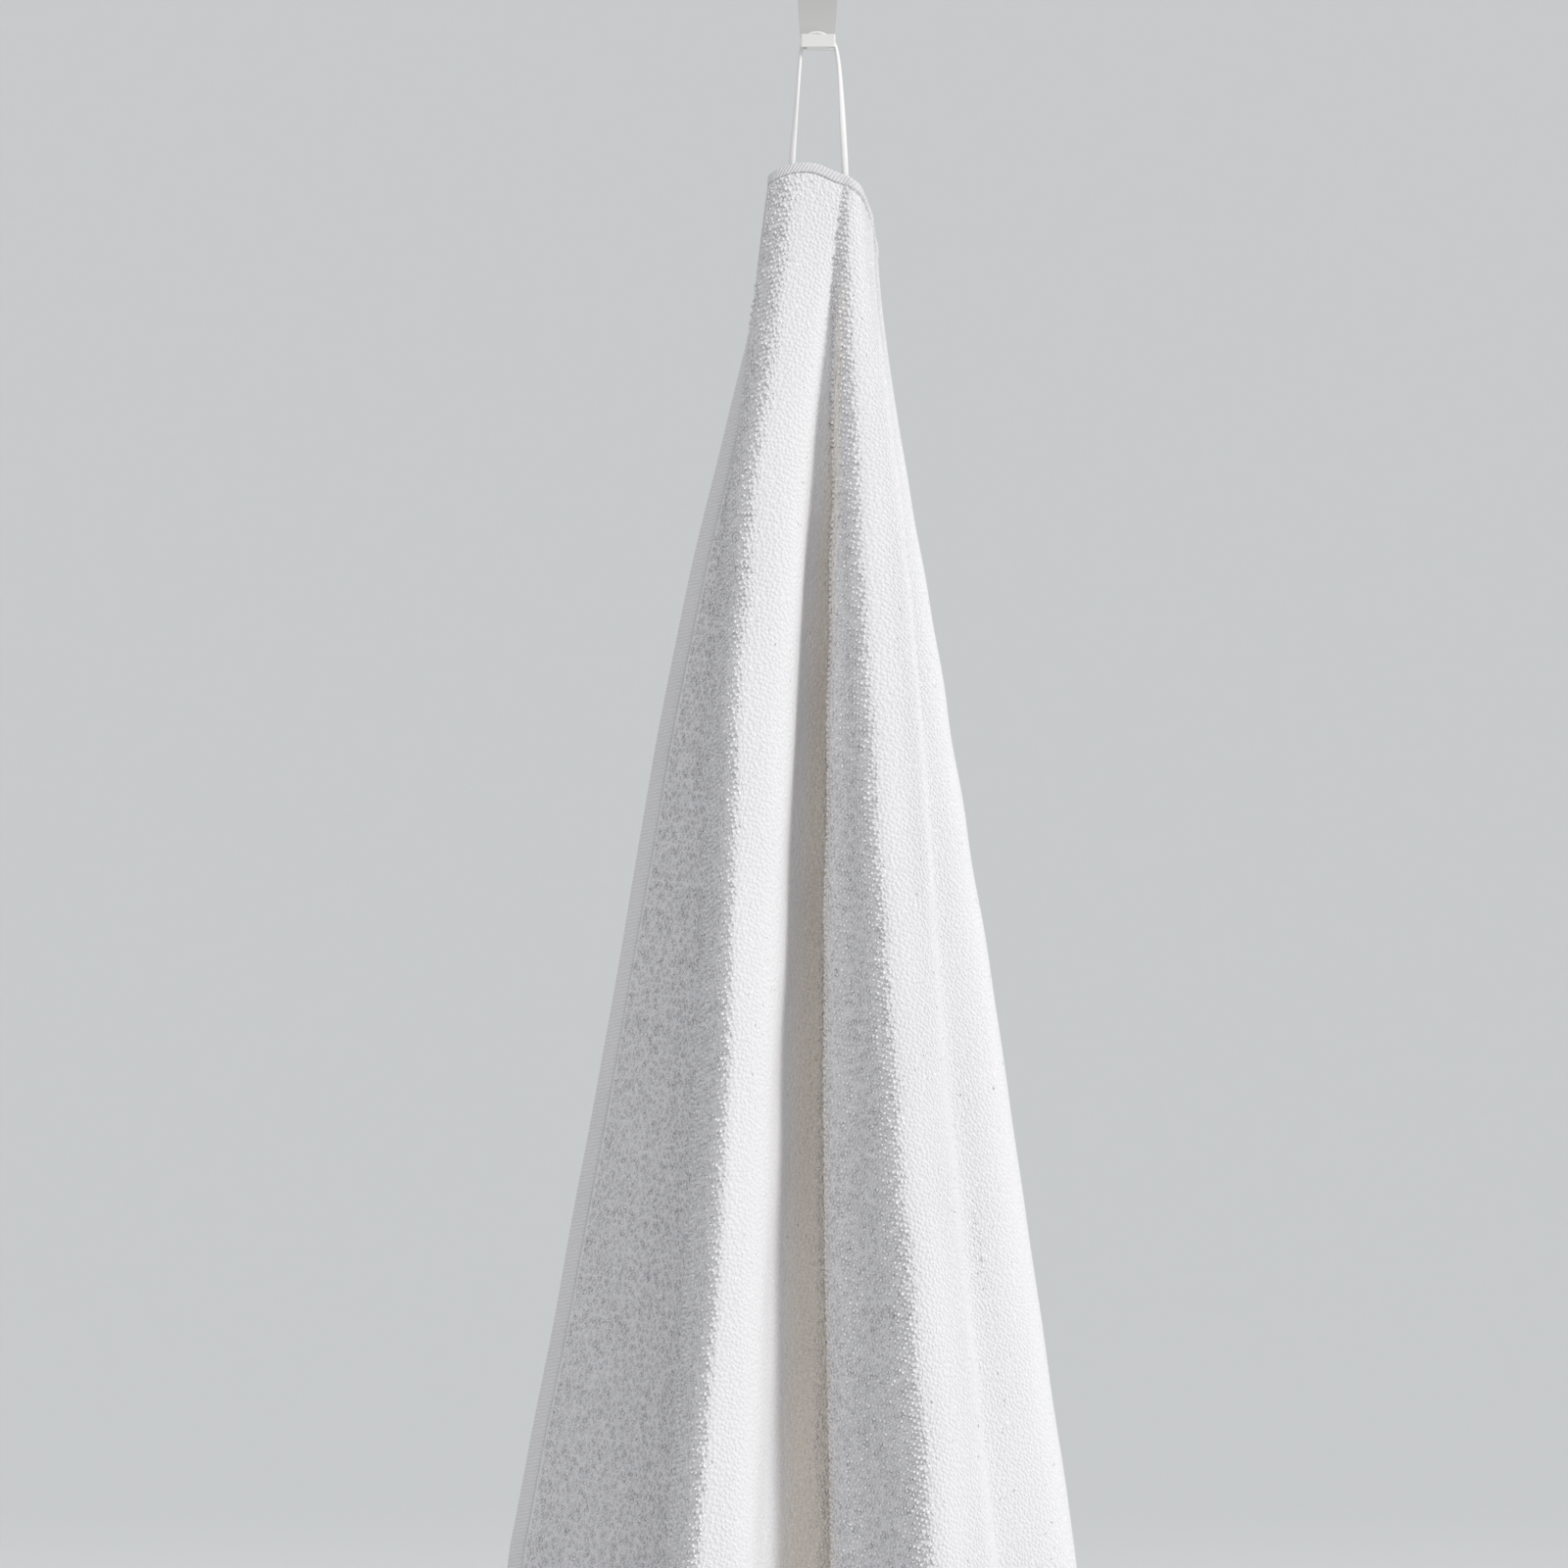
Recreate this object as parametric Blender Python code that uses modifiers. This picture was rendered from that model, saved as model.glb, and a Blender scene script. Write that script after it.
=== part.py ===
"""Hand towel hung by its cord loop from a small wall hook.

Frame: origin at the middle of the hook's flat back, +Z up, +Y into the wall, +X to the right of someone who
faces the wall. The wall's surface is the plane y = 0, and "out" is a distance from it into the room.

The towel is one sheet. Its level sections are read at a few heights from FOLDS, one row for each fold line, and
the cloth nearest the wall meanders in round pleats. Every fold line starts at the hem and runs down to where the
flat rectangle of cloth ends.
"""

import math
from collections import namedtuple

import bmesh
import bpy
import numpy as np

MM = 0.001

# Hook, in millimetres
PLATE_TOP = 23.5
PLATE_FOOT = -27.0
PLATE_THICK = 3.4
PLATE_WIDTH_TOP = 17.0
PLATE_WIDTH_FOOT = 11.5
PLATE_CORNER = 4.0
SHELF_WIDTH = 7.8
SHELF_THICK = 1.5
HOOK_DEPTH = 10.5
LIP_WIDTH = 11.8
LIP_THICK = 1.75
LIP_TOP = -22.6
HOOK_EDGE = 0.45

# Hanging loop, in millimetres
CORD_DIAMETER = 1.8
CORD_POINTS = 56
CORD_SPAN_STEPS = 24

# Route of the loop: across, out, height. It starts behind the hem on the left, arches over the hook's shelf
# behind the lip, and ends behind the hem on the right.
CORD_ROUTE = (
    (-9.1, 12.9, -78.0),
    (-8.95, 12.9, -71.0),
    (-8.7, 12.5, -64.5),
    (-7.95, 10.9, -54.0),
    (-7.0, 8.8, -42.0),
    (-6.15, 6.8, -31.0),
    (-5.75, 6.2, -27.4),
    (-5.0, 6.1, -24.8),
    (-3.8, 6.1, -23.1),
    (-2.3, 6.1, -22.2),
    (-0.6, 6.1, -21.9),
    (1.2, 6.1, -22.1),
    (2.9, 6.1, -22.9),
    (4.3, 6.1, -24.0),
    (5.3, 6.1, -25.3),
    (6.0, 6.15, -26.9),
    (6.5, 6.4, -29.2),
    (7.15, 7.2, -34.0),
    (7.8, 8.8, -43.0),
    (8.4, 11.0, -55.0),
    (8.95, 12.5, -66.0),
    (9.2, 12.9, -74.0),
    (9.3, 12.9, -81.0),
)

# Towel, in millimetres
TOWEL_LONG = 1000.0
TOWEL_SHORT = 500.0
SHEET_THICK = 2.4
HEM_TOP = -67.0
HEM_LEFT_FOOT = -14.0
HEM_RIGHT_FOOT = 50.0

# Heights of the sections, as drops below the top of the hem
LEVELS = (0.0, 32.0, 110.0, 297.0, 464.0)
OUT_LEVELS = (0.0, 40.0, 110.0, 464.0)

# Fold lines from the left edge of the towel, over the front, round the right side and back behind to the left.
# across: place at each of LEVELS; out: distance from the wall at each of OUT_LEVELS; drop: start below the
# top of the hem; steps: faces of the sheet up to the next line.
Fold = namedtuple("Fold", "name across out drop steps")
FOLDS = (
    Fold("left edge", (-9.5, -16.5, -36.2, -71.4, -102.7), (11.2, 15.4, 22.0, 46.0), 4.6, 2),
    Fold("left field", (-11.5, -16.9, -31.0, -54.6, -74.6), (11.3, 16.9, 25.6, 61.6), 4.3, 2),
    Fold("left valley", (-13.8, -17.8, -28.2, -39.6, -50.0), (12.0, 18.4, 28.8, 70.0), 4.0, 2),
    Fold("left flank", (-15.2, -19.0, -27.2, -37.6, -48.4), (14.0, 21.6, 35.0, 83.0), 3.6, 2),
    Fold("left shoulder", (-10.4, -14.0, -23.8, -32.0, -43.4), (16.2, 25.5, 40.7, 97.0), 0.8, 2),
    Fold("left pleat", (-2.4, -6.4, -15.4, -24.8, -34.0), (16.3, 25.6, 40.5, 97.2), -0.2, 2),
    Fold("left pleat edge", (4.8, 1.4, -5.0, -15.6, -22.2), (15.6, 23.8, 35.8, 89.5), 2.3, 2),
    Fold("valley wall", (6.9, 3.4, -3.2, -12.8, -18.4), (15.3, 22.9, 30.6, 79.0), 3.1, 2),
    Fold("valley floor", (8.6, 5.0, 1.4, -4.4, -6.2), (15.1, 22.2, 26.2, 69.5), 3.6, 2),
    Fold("right pleat root", (9.4, 6.3, 6.3, 5.0, 7.6), (15.0, 22.2, 27.4, 72.0), 4.0, 2),
    Fold("right pleat brink", (10.2, 7.8, 5.8, 3.2, 5.6), (14.9, 23.0, 33.2, 84.0), 4.2, 2),
    Fold("right flank", (11.0, 9.2, 9.0, 12.4, 19.0), (14.8, 23.8, 36.6, 94.5), 4.6, 2),
    Fold("right pleat", (12.3, 12.0, 14.0, 23.0, 34.6), (14.4, 24.0, 38.6, 103.0), 5.8, 2),
    Fold("right shoulder", (14.3, 15.8, 22.4, 35.5, 49.6), (13.4, 22.4, 36.6, 99.5), 8.9, 2),
    Fold("right pleat edge", (16.6, 17.9, 26.5, 41.1, 57.4), (12.2, 20.4, 34.0, 93.0), 15.5, 2),
    Fold("notch", (17.3, 18.2, 25.6, 40.0, 55.4), (11.7, 19.1, 30.6, 86.0), 18.2, 2),
    Fold("right field", (18.0, 18.9, 27.6, 48.8, 68.4), (11.0, 17.8, 28.8, 82.0), 23.5, 2),
    Fold("right side", (18.4, 19.4, 30.0, 59.5, 82.9), (10.4, 15.6, 24.9, 72.0), 29.1, 2),
    Fold("right turn", (17.2, 18.2, 28.0, 57.0, 79.6), (8.8, 13.0, 20.0, 63.0), 31.0, 3),
    Fold("hidden ridge right", (11.5, 12.5, 14.5, 24.0, 31.0), (8.6, 12.8, 24.0, 82.0), 32.0, 3),
    Fold("hidden valley", (5.0, 4.6, 1.0, -3.0, -5.0), (8.5, 12.4, 17.6, 52.5), 32.0, 3),
    Fold("hidden ridge left", (0.0, -2.4, -12.5, -25.0, -32.0), (8.4, 12.4, 22.6, 67.0), 32.0, 2),
    Fold("hidden field left", (-3.2, -5.2, -19.0, -40.0, -58.0), (8.0, 11.6, 17.6, 49.6), 32.0, 2),
    Fold("left turn", (-5.2, -7.8, -22.4, -51.5, -85.0), (6.9, 9.6, 14.8, 40.5), 32.0, 2),
    Fold("left return", (-5.0, -8.0, -22.8, -53.5, -89.0), (5.0, 6.6, 10.6, 33.0), 32.0, 2),
    Fold("back start", (-3.4, -6.4, -20.9, -51.0, -85.0), (3.3, 3.4, 6.5, 25.0), 32.0, 1),
)

# The back: round pleats, from the last fold line to the towel's right edge, which ends against the wall.
# They are as deep as the space between the wall and the layer in front of them.
BACK_END = Fold("right edge", (12.0, 13.0, 25.5, 54.0, 80.0), (3.3, 3.4, 6.5, 25.0), 32.0, 0)
BACK_PLEATS = 6
BACK_STEPS_PER_PLEAT = 12
BACK_FINE_STEPS = 48
BACK_WALL_GAP = 3.2
BACK_UNEVEN = 0.08
BACK_FIRST_HEADING = 0.65
BACK_MOST_SWING = 118.0

DOWN_STEPS = 13
DOWN_CROWDING = 1.45
LENGTH_TRIALS = 61
PLUMB_SHARE = 0.5


def new_collection(name):
    collection = bpy.data.collections.new(name)
    bpy.context.scene.collection.children.link(collection)
    return collection


def new_material(name, colour, roughness, metallic=0.0):
    material = bpy.data.materials.new(name)
    material.use_nodes = True
    shader = material.node_tree.nodes["Principled BSDF"]
    shader.inputs["Base Color"].default_value = (*colour, 1.0)
    shader.inputs["Roughness"].default_value = roughness
    shader.inputs["Metallic"].default_value = metallic
    return material


def spline_weights(knots, places):
    """Matrix that turns values at the knots into a natural cubic spline's values at the places.

    Beyond the last knot the curve goes on along its end tangent.
    """
    knots = np.asarray(knots, float)
    places = np.asarray(places, float)
    count = len(knots)
    gap = np.diff(knots)
    bend = np.zeros((count, count))
    pull = np.zeros((count, count))
    bend[0, 0] = bend[-1, -1] = 1.0
    for i in range(1, count - 1):
        bend[i, i - 1 : i + 2] = gap[i - 1], 2 * (gap[i - 1] + gap[i]), gap[i]
        pull[i, i - 1 : i + 2] = 6 / gap[i - 1], -6 / gap[i - 1] - 6 / gap[i], 6 / gap[i]
    second = np.linalg.solve(bend, pull)
    unit = np.eye(count)
    inside = np.clip(places, knots[0], knots[-1])
    cell = np.clip(np.searchsorted(knots, inside) - 1, 0, count - 2)
    h = gap[cell][:, None]
    a = (knots[cell + 1] - inside)[:, None] / h
    b = 1.0 - a
    curve = a * unit[cell] + b * unit[cell + 1]
    curve = curve + h**2 / 6 * ((a**3 - a) * second[cell] + (b**3 - b) * second[cell + 1])
    end_slope = (unit[-1] - unit[-2]) / gap[-1] + gap[-1] / 6 * (second[-2] + 2 * second[-1])
    return curve + np.outer(np.maximum(places - knots[-1], 0.0), end_slope)


def eased(levels):
    """Level at which the table is read: below its last row the folds hang more and more plumb."""
    below = np.maximum(levels - LEVELS[-1], 0.0)
    return np.minimum(levels, LEVELS[-1]) + below * PLUMB_SHARE


def fold_lines(levels):
    """Across and out of every fold line of the table (columns) at each level (rows)."""
    rows = FOLDS + (BACK_END,)
    read = eased(levels)
    across = spline_weights(LEVELS, read) @ np.array([row.across for row in rows]).T
    out = spline_weights(OUT_LEVELS, read) @ np.array([row.out for row in rows]).T
    return across, out


def front_layout():
    """Matrix from the fold lines to the columns of the front, with the knots at chord distances."""
    low = np.array([(row.across[-1], row.out[-1]) for row in FOLDS])
    high = np.array([(row.across[2], row.out[1]) for row in FOLDS])
    reach = np.hypot(*np.diff(low, axis=0).T) + 2.0 * np.hypot(*np.diff(high, axis=0).T)
    knots = np.concatenate([[0.0], np.cumsum(np.sqrt(reach))])
    places = [
        np.linspace(knots[i], knots[i + 1], FOLDS[i].steps, endpoint=False) for i in range(len(FOLDS) - 1)
    ]
    return spline_weights(knots, np.concatenate(places + [knots[-1:]]))


def meander(swing, places):
    """Places (0 to 1) along the back, as shares of its straight span: forward along it and towards the wall.

    The heading swings to and fro by the angle swing (one per row) as a cosine of the distance along the cloth, so
    the folds are round. The line starts half way between two folds and ends in one against the wall.
    """
    fine = np.linspace(0.0, 1.0, BACK_FINE_STEPS * BACK_PLEATS + 1)
    phase = fine + BACK_UNEVEN / (2 * math.pi) * np.sin(2 * math.pi * fine)
    opening = 1.0 - (1.0 - BACK_FIRST_HEADING) * np.exp(-3.0 * BACK_PLEATS * fine)
    heading = swing[:, None] * opening * np.cos(2 * math.pi * (BACK_PLEATS + 0.25) * phase)
    middle = 0.5 * (heading[:, 1:] + heading[:, :-1])
    start = np.zeros((len(swing), 1))
    forward = np.concatenate([start, np.cumsum(np.cos(middle), axis=1)], axis=1)
    wallward = np.concatenate([start, np.cumsum(np.sin(middle), axis=1)], axis=1)
    columns = np.round(places * (fine.size - 1)).astype(int)
    span = forward[:, -1:]
    return (forward / span)[:, columns], (wallward / span)[:, columns]


def back_swing(depth_share):
    """Swing of the meander that reaches this share of its straight span towards the wall."""
    swings = np.radians(np.linspace(0.0, BACK_MOST_SWING, 60))
    reach = meander(swings, np.linspace(0.0, 1.0, BACK_FINE_STEPS * BACK_PLEATS + 1))[1].max(axis=1)
    return np.interp(depth_share, reach, swings)


def sheet_middle(level):
    """Across and out of the sheet's middle, for an array of levels with one column per column of the sheet."""
    rows, columns = level.shape
    flat = level.ravel()
    column = np.tile(np.arange(columns), rows)
    index = np.arange(rows * columns)
    across, out = fold_lines(flat)
    front = front_layout()
    in_front = np.minimum(column, len(front) - 1)
    behind = np.maximum(column - len(front), 0)
    back = np.linspace(0.0, 1.0, columns - len(front) + 1)[1:]
    span = across[:, -1] - across[:, -2]
    swing = back_swing((out[:, -2] - BACK_WALL_GAP) / span)
    forward, wallward = (part[index, behind] for part in meander(swing, back))
    back_across = across[:, -2] + forward * span
    back_out = out[:, -2] - wallward * span
    is_front = column < len(front)
    x = np.where(is_front, np.einsum("ij,ij->i", front[in_front], across[:, :-1]), back_across)
    y = np.where(is_front, np.einsum("ij,ij->i", front[in_front], out[:, :-1]), back_out)
    return x.reshape(level.shape), y.reshape(level.shape)


def towel_grid(down_steps):
    """Middle surface of the towel: points as an array of rows down the cloth, columns along the hem."""
    front = front_layout()
    back_columns = BACK_PLEATS * BACK_STEPS_PER_PLEAT
    starts = front @ [row.drop for row in FOLDS]
    drops = np.concatenate([starts, np.full(back_columns, BACK_END.drop)])
    share = arc_share(len(drops))
    length = ray_length(*flat_ray(share))
    trial = drops + np.linspace(0.0, 1.0, LENGTH_TRIALS)[:, None] * length
    x, y = sheet_middle(trial)
    run = np.sqrt(np.diff(x, axis=0) ** 2 + np.diff(y, axis=0) ** 2 + np.diff(trial, axis=0) ** 2)
    run = np.concatenate([np.zeros((1, len(drops))), np.cumsum(run, axis=0)])
    fraction = np.linspace(0.0, 1.0, down_steps + 1) ** DOWN_CROWDING
    level = np.stack(
        [np.interp(fraction * length[c], run[:, c], trial[:, c]) for c in range(len(drops))], axis=1
    )
    x, y = sheet_middle(level)
    return np.stack([x, -y, HEM_TOP - level], axis=-1) * MM


def arc_share(columns):
    """How far along the lowest section each column lies, from 0 at the left edge to 1 at the right edge."""
    x, y = sheet_middle(np.full((1, columns), LEVELS[-1]))
    run = np.concatenate([[0.0], np.cumsum(np.hypot(np.diff(x[0]), np.diff(y[0])))])
    return run / run[-1]


def flat_ray(share):
    """Foot on the hem and angle of each fold line on the flat cloth, the angle from the hem's left half."""
    radius = LEVELS[-1]
    quarter = radius * math.pi / 2
    straight = HEM_RIGHT_FOOT - HEM_LEFT_FOOT
    along = share * (2 * quarter + straight)
    foot = np.clip(along - quarter, 0.0, straight) + HEM_LEFT_FOOT
    angle = (np.minimum(along, quarter) + np.maximum(along - quarter - straight, 0.0)) / radius
    return foot, angle


def ray_length(foot, angle):
    """Length of each fold line, from the hem to the nearer of the bottom edge and a side edge."""
    away = np.cos(angle)
    side = np.where(away > 0, TOWEL_LONG / 2 + foot, TOWEL_LONG / 2 - foot)
    to_side = side / np.maximum(np.abs(away), 1e-6)
    to_bottom = TOWEL_SHORT / np.maximum(np.sin(angle), 1e-6)
    return np.minimum(to_side, to_bottom)


def grid_faces(rows, columns):
    index = np.arange(rows * columns).reshape(rows, columns)
    corners = [index[:-1, :-1], index[1:, :-1], index[1:, 1:], index[:-1, 1:]]
    return np.stack(corners, axis=-1).reshape(-1, 4)


def make_towel(collection):
    grid = towel_grid(DOWN_STEPS)
    mesh = bpy.data.meshes.new("towel")
    mesh.from_pydata(grid.reshape(-1, 3).tolist(), [], grid_faces(*grid.shape[:2]).tolist())
    mesh.materials.append(new_material("white terry cotton", (0.86, 0.85, 0.85), 0.95))
    mesh.shade_smooth()
    towel = bpy.data.objects.new("towel", mesh)
    collection.objects.link(towel)
    sheet = towel.modifiers.new("sheet thickness", "SOLIDIFY")
    sheet.thickness = SHEET_THICK * MM
    sheet.offset = 0.0
    return towel


def smooth_route(points, count):
    """Points at even distances on the smooth curve (Catmull-Rom) through the route's own points."""
    route = np.array(points)
    ends = np.vstack([2 * route[0] - route[1], route, 2 * route[-1] - route[-2]])
    t = np.linspace(0.0, 1.0, CORD_SPAN_STEPS, endpoint=False)[:, None]
    curve = []
    for a, b, c, d in zip(ends, ends[1:], ends[2:], ends[3:]):
        curve.append(
            0.5 * (2 * b + (c - a) * t + (2 * a - 5 * b + 4 * c - d) * t**2 + (3 * b - a - 3 * c + d) * t**3)
        )
    curve = np.vstack(curve + [route[-1:]])
    run = np.concatenate([[0.0], np.cumsum(np.linalg.norm(np.diff(curve, axis=0), axis=1))])
    even = np.linspace(0.0, run[-1], count)
    return np.stack([np.interp(even, run, curve[:, i]) for i in range(3)], axis=1)


def make_hanging_loop(collection):
    curve = bpy.data.curves.new("hanging_loop", "CURVE")
    curve.dimensions = "3D"
    curve.bevel_depth = CORD_DIAMETER / 2 * MM
    curve.bevel_resolution = 2
    curve.use_fill_caps = True
    route = smooth_route(CORD_ROUTE, CORD_POINTS)
    spline = curve.splines.new("POLY")
    spline.points.add(CORD_POINTS - 1)
    for point, (across, out, height) in zip(spline.points, route):
        point.co = (across * MM, -out * MM, height * MM, 1.0)
    curve.materials.append(new_material("white cotton cord", (0.84, 0.84, 0.83), 0.85))
    loop = bpy.data.objects.new("hanging_loop", curve)
    collection.objects.link(loop)
    return loop


def add_plate_shape(name, outline, out_near, out_far, collection):
    """Solid between two distances from the wall, from an outline of (across, height) points."""
    curve = bpy.data.curves.new(name, "CURVE")
    curve.dimensions = "2D"
    curve.fill_mode = "BOTH"
    curve.extrude = (out_far - out_near) / 2 * MM
    spline = curve.splines.new("POLY")
    spline.points.add(len(outline) - 1)
    for point, (across, height) in zip(spline.points, outline):
        point.co = (across * MM, height * MM, 0.0, 1.0)
    spline.use_cyclic_u = True
    guide = bpy.data.objects.new(name + " outline", curve)
    guide.rotation_euler = (math.pi / 2, 0.0, 0.0)
    guide.location = (0.0, -(out_near + out_far) / 2 * MM, 0.0)
    collection.objects.link(guide)
    bpy.context.view_layer.update()
    mesh = bpy.data.meshes.new_from_object(guide.evaluated_get(bpy.context.evaluated_depsgraph_get()))
    mesh.name = name
    weld_doubles(mesh)
    shape = bpy.data.objects.new(name, mesh)
    shape.matrix_world = guide.matrix_world
    collection.objects.link(shape)
    bpy.data.objects.remove(guide)
    edge = shape.modifiers.new("rounded edges", "BEVEL")
    edge.width = HOOK_EDGE * MM
    edge.segments = 2
    edge.limit_method = "ANGLE"
    edge.angle_limit = math.radians(50)
    return shape


def weld_doubles(mesh):
    work = bmesh.new()
    work.from_mesh(mesh)
    bmesh.ops.remove_doubles(work, verts=work.verts, dist=1e-6)
    work.to_mesh(mesh)
    work.free()


def plate_outline():
    """Trapezium that widens upwards, with its two top corners rounded by quarter circles."""
    foot = PLATE_WIDTH_FOOT / 2
    top = PLATE_WIDTH_TOP / 2
    turn = np.linspace(0.0, math.pi / 2, 7)
    right_across = top - PLATE_CORNER + PLATE_CORNER * np.cos(turn)
    right_height = PLATE_TOP - PLATE_CORNER + PLATE_CORNER * np.sin(turn)
    right = list(zip(right_across, right_height))
    left = [(-across, height) for across, height in reversed(right)]
    return [(-foot, PLATE_FOOT), (foot, PLATE_FOOT)] + right + left


def box_outline(width, foot, top):
    return [(-width / 2, foot), (width / 2, foot), (width / 2, top), (-width / 2, top)]


def make_hook(collection, helpers):
    """Plate against the wall, joined with a shelf under the loop and the upturned lip at its front."""
    paint = new_material("warm grey satin paint", (0.66, 0.66, 0.63), 0.4, 0.2)
    hook = add_plate_shape("hook", plate_outline(), 0.0, PLATE_THICK, collection)
    shelf_foot = PLATE_FOOT + 0.05
    shelf_front = HOOK_DEPTH - 0.3
    shelf = box_outline(SHELF_WIDTH, shelf_foot, shelf_foot + SHELF_THICK)
    lip = box_outline(LIP_WIDTH, PLATE_FOOT, LIP_TOP)
    additions = (
        add_plate_shape("hook shelf", shelf, 0.6, shelf_front, helpers),
        add_plate_shape("hook lip", lip, HOOK_DEPTH - LIP_THICK, HOOK_DEPTH, helpers),
    )
    hook.data.materials.append(paint)
    for addition in additions:
        addition.hide_render = True
        addition.display_type = "WIRE"
        join = hook.modifiers.new("join " + addition.name, "BOOLEAN")
        join.operation = "UNION"
        join.object = addition
    return hook


def main():
    for obj in list(bpy.data.objects):
        bpy.data.objects.remove(obj, do_unlink=True)
    collection = new_collection("hand towel on a hook")
    helpers = new_collection("helpers")
    make_hook(collection, helpers)
    make_hanging_loop(collection)
    make_towel(collection)


main()
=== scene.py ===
"""Looks of the hand towel on a hook: its terry cloth, hems, pile and sewing, the woven loop and the hook."""

import math
from collections import namedtuple

import bpy
import numpy as np
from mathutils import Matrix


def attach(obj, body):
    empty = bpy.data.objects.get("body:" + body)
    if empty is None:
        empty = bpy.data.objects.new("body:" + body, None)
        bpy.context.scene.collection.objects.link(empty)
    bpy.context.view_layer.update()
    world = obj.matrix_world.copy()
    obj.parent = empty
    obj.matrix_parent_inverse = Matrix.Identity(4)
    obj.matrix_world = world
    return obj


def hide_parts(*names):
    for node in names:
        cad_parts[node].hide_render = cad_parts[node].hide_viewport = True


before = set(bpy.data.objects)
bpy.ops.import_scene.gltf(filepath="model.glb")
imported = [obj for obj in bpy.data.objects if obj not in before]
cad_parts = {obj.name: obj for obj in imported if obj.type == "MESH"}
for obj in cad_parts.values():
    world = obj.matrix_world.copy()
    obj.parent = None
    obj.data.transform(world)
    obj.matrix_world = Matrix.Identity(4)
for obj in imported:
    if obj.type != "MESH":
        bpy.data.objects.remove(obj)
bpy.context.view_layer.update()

bl_info = {
    "name": "Hand towel on a hook",
    "version": (1, 0, 0),
    "blender": (4, 5, 0),
    "location": "3D View > Sidebar > Towel",
    "description": "Makes a terry hand towel that hangs by its cord loop from a small wall hook",
    "category": "Object",
}

MM = 0.001

# Sections of the hanging towel in millimetres, with the same fold lines as its solid: the levels below the hem's
# top at which their places across and their distances from the wall are given, and how far each starts below it
LEVELS = (0.0, 32.0, 110.0, 297.0, 464.0)
OUT_LEVELS = (0.0, 40.0, 110.0, 464.0)
Fold = namedtuple("Fold", "name across out drop steps")
FOLDS = (
    Fold("left edge", (-9.5, -16.5, -36.2, -71.4, -102.7), (11.2, 15.4, 22.0, 46.0), 4.6, 2),
    Fold("left field", (-11.5, -16.9, -31.0, -54.6, -74.6), (11.3, 16.9, 25.6, 61.6), 4.3, 2),
    Fold("left valley", (-13.8, -17.8, -28.2, -39.6, -50.0), (12.0, 18.4, 28.8, 70.0), 4.0, 2),
    Fold("left flank", (-15.2, -19.0, -27.2, -37.6, -48.4), (14.0, 21.6, 35.0, 83.0), 3.6, 2),
    Fold("left shoulder", (-10.4, -14.0, -23.8, -32.0, -43.4), (16.2, 25.5, 40.7, 97.0), 0.8, 2),
    Fold("left pleat", (-2.4, -6.4, -15.4, -24.8, -34.0), (16.3, 25.6, 40.5, 97.2), -0.2, 2),
    Fold("left pleat edge", (4.8, 1.4, -5.0, -15.6, -22.2), (15.6, 23.8, 35.8, 89.5), 2.3, 2),
    Fold("valley wall", (6.9, 3.4, -3.2, -12.8, -18.4), (15.3, 22.9, 30.6, 79.0), 3.1, 2),
    Fold("valley floor", (8.6, 5.0, 1.4, -4.4, -6.2), (15.1, 22.2, 26.2, 69.5), 3.6, 2),
    Fold("right pleat root", (9.4, 6.3, 6.3, 5.0, 7.6), (15.0, 22.2, 27.4, 72.0), 4.0, 2),
    Fold("right pleat brink", (10.2, 7.8, 5.8, 3.2, 5.6), (14.9, 23.0, 33.2, 84.0), 4.2, 2),
    Fold("right flank", (11.0, 9.2, 9.0, 12.4, 19.0), (14.8, 23.8, 36.6, 94.5), 4.6, 2),
    Fold("right pleat", (12.3, 12.0, 14.0, 23.0, 34.6), (14.4, 24.0, 38.6, 103.0), 5.8, 2),
    Fold("right shoulder", (14.3, 15.8, 22.4, 35.5, 49.6), (13.4, 22.4, 36.6, 99.5), 8.9, 2),
    Fold("right pleat edge", (16.6, 17.9, 26.5, 41.1, 57.4), (12.2, 20.4, 34.0, 93.0), 15.5, 2),
    Fold("notch", (17.3, 18.2, 25.6, 40.0, 55.4), (11.7, 19.1, 30.6, 86.0), 18.2, 2),
    Fold("right field", (18.0, 18.9, 27.6, 48.8, 68.4), (11.0, 17.8, 28.8, 82.0), 23.5, 2),
    Fold("right side", (18.4, 19.4, 30.0, 59.5, 82.9), (10.4, 15.6, 24.9, 72.0), 29.1, 2),
    Fold("right turn", (17.2, 18.2, 28.0, 57.0, 79.6), (8.8, 13.0, 20.0, 63.0), 31.0, 3),
    Fold("hidden ridge right", (11.5, 12.5, 14.5, 24.0, 31.0), (8.6, 12.8, 24.0, 82.0), 32.0, 3),
    Fold("hidden valley", (5.0, 4.6, 1.0, -3.0, -5.0), (8.5, 12.4, 17.6, 52.5), 32.0, 3),
    Fold("hidden ridge left", (0.0, -2.4, -12.5, -25.0, -32.0), (8.4, 12.4, 22.6, 67.0), 32.0, 2),
    Fold("hidden field left", (-3.2, -5.2, -19.0, -40.0, -58.0), (8.0, 11.6, 17.6, 49.6), 32.0, 2),
    Fold("left turn", (-5.2, -7.8, -22.4, -51.5, -85.0), (6.9, 9.6, 14.8, 40.5), 32.0, 2),
    Fold("left return", (-5.0, -8.0, -22.8, -53.5, -89.0), (5.0, 6.6, 10.6, 33.0), 32.0, 2),
    Fold("back start", (-3.4, -6.4, -20.9, -51.0, -85.0), (3.3, 3.4, 6.5, 25.0), 32.0, 1),
)
BACK_END = Fold("right edge", (12.0, 13.0, 25.5, 54.0, 80.0), (3.3, 3.4, 6.5, 25.0), 32.0, 0)

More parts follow.
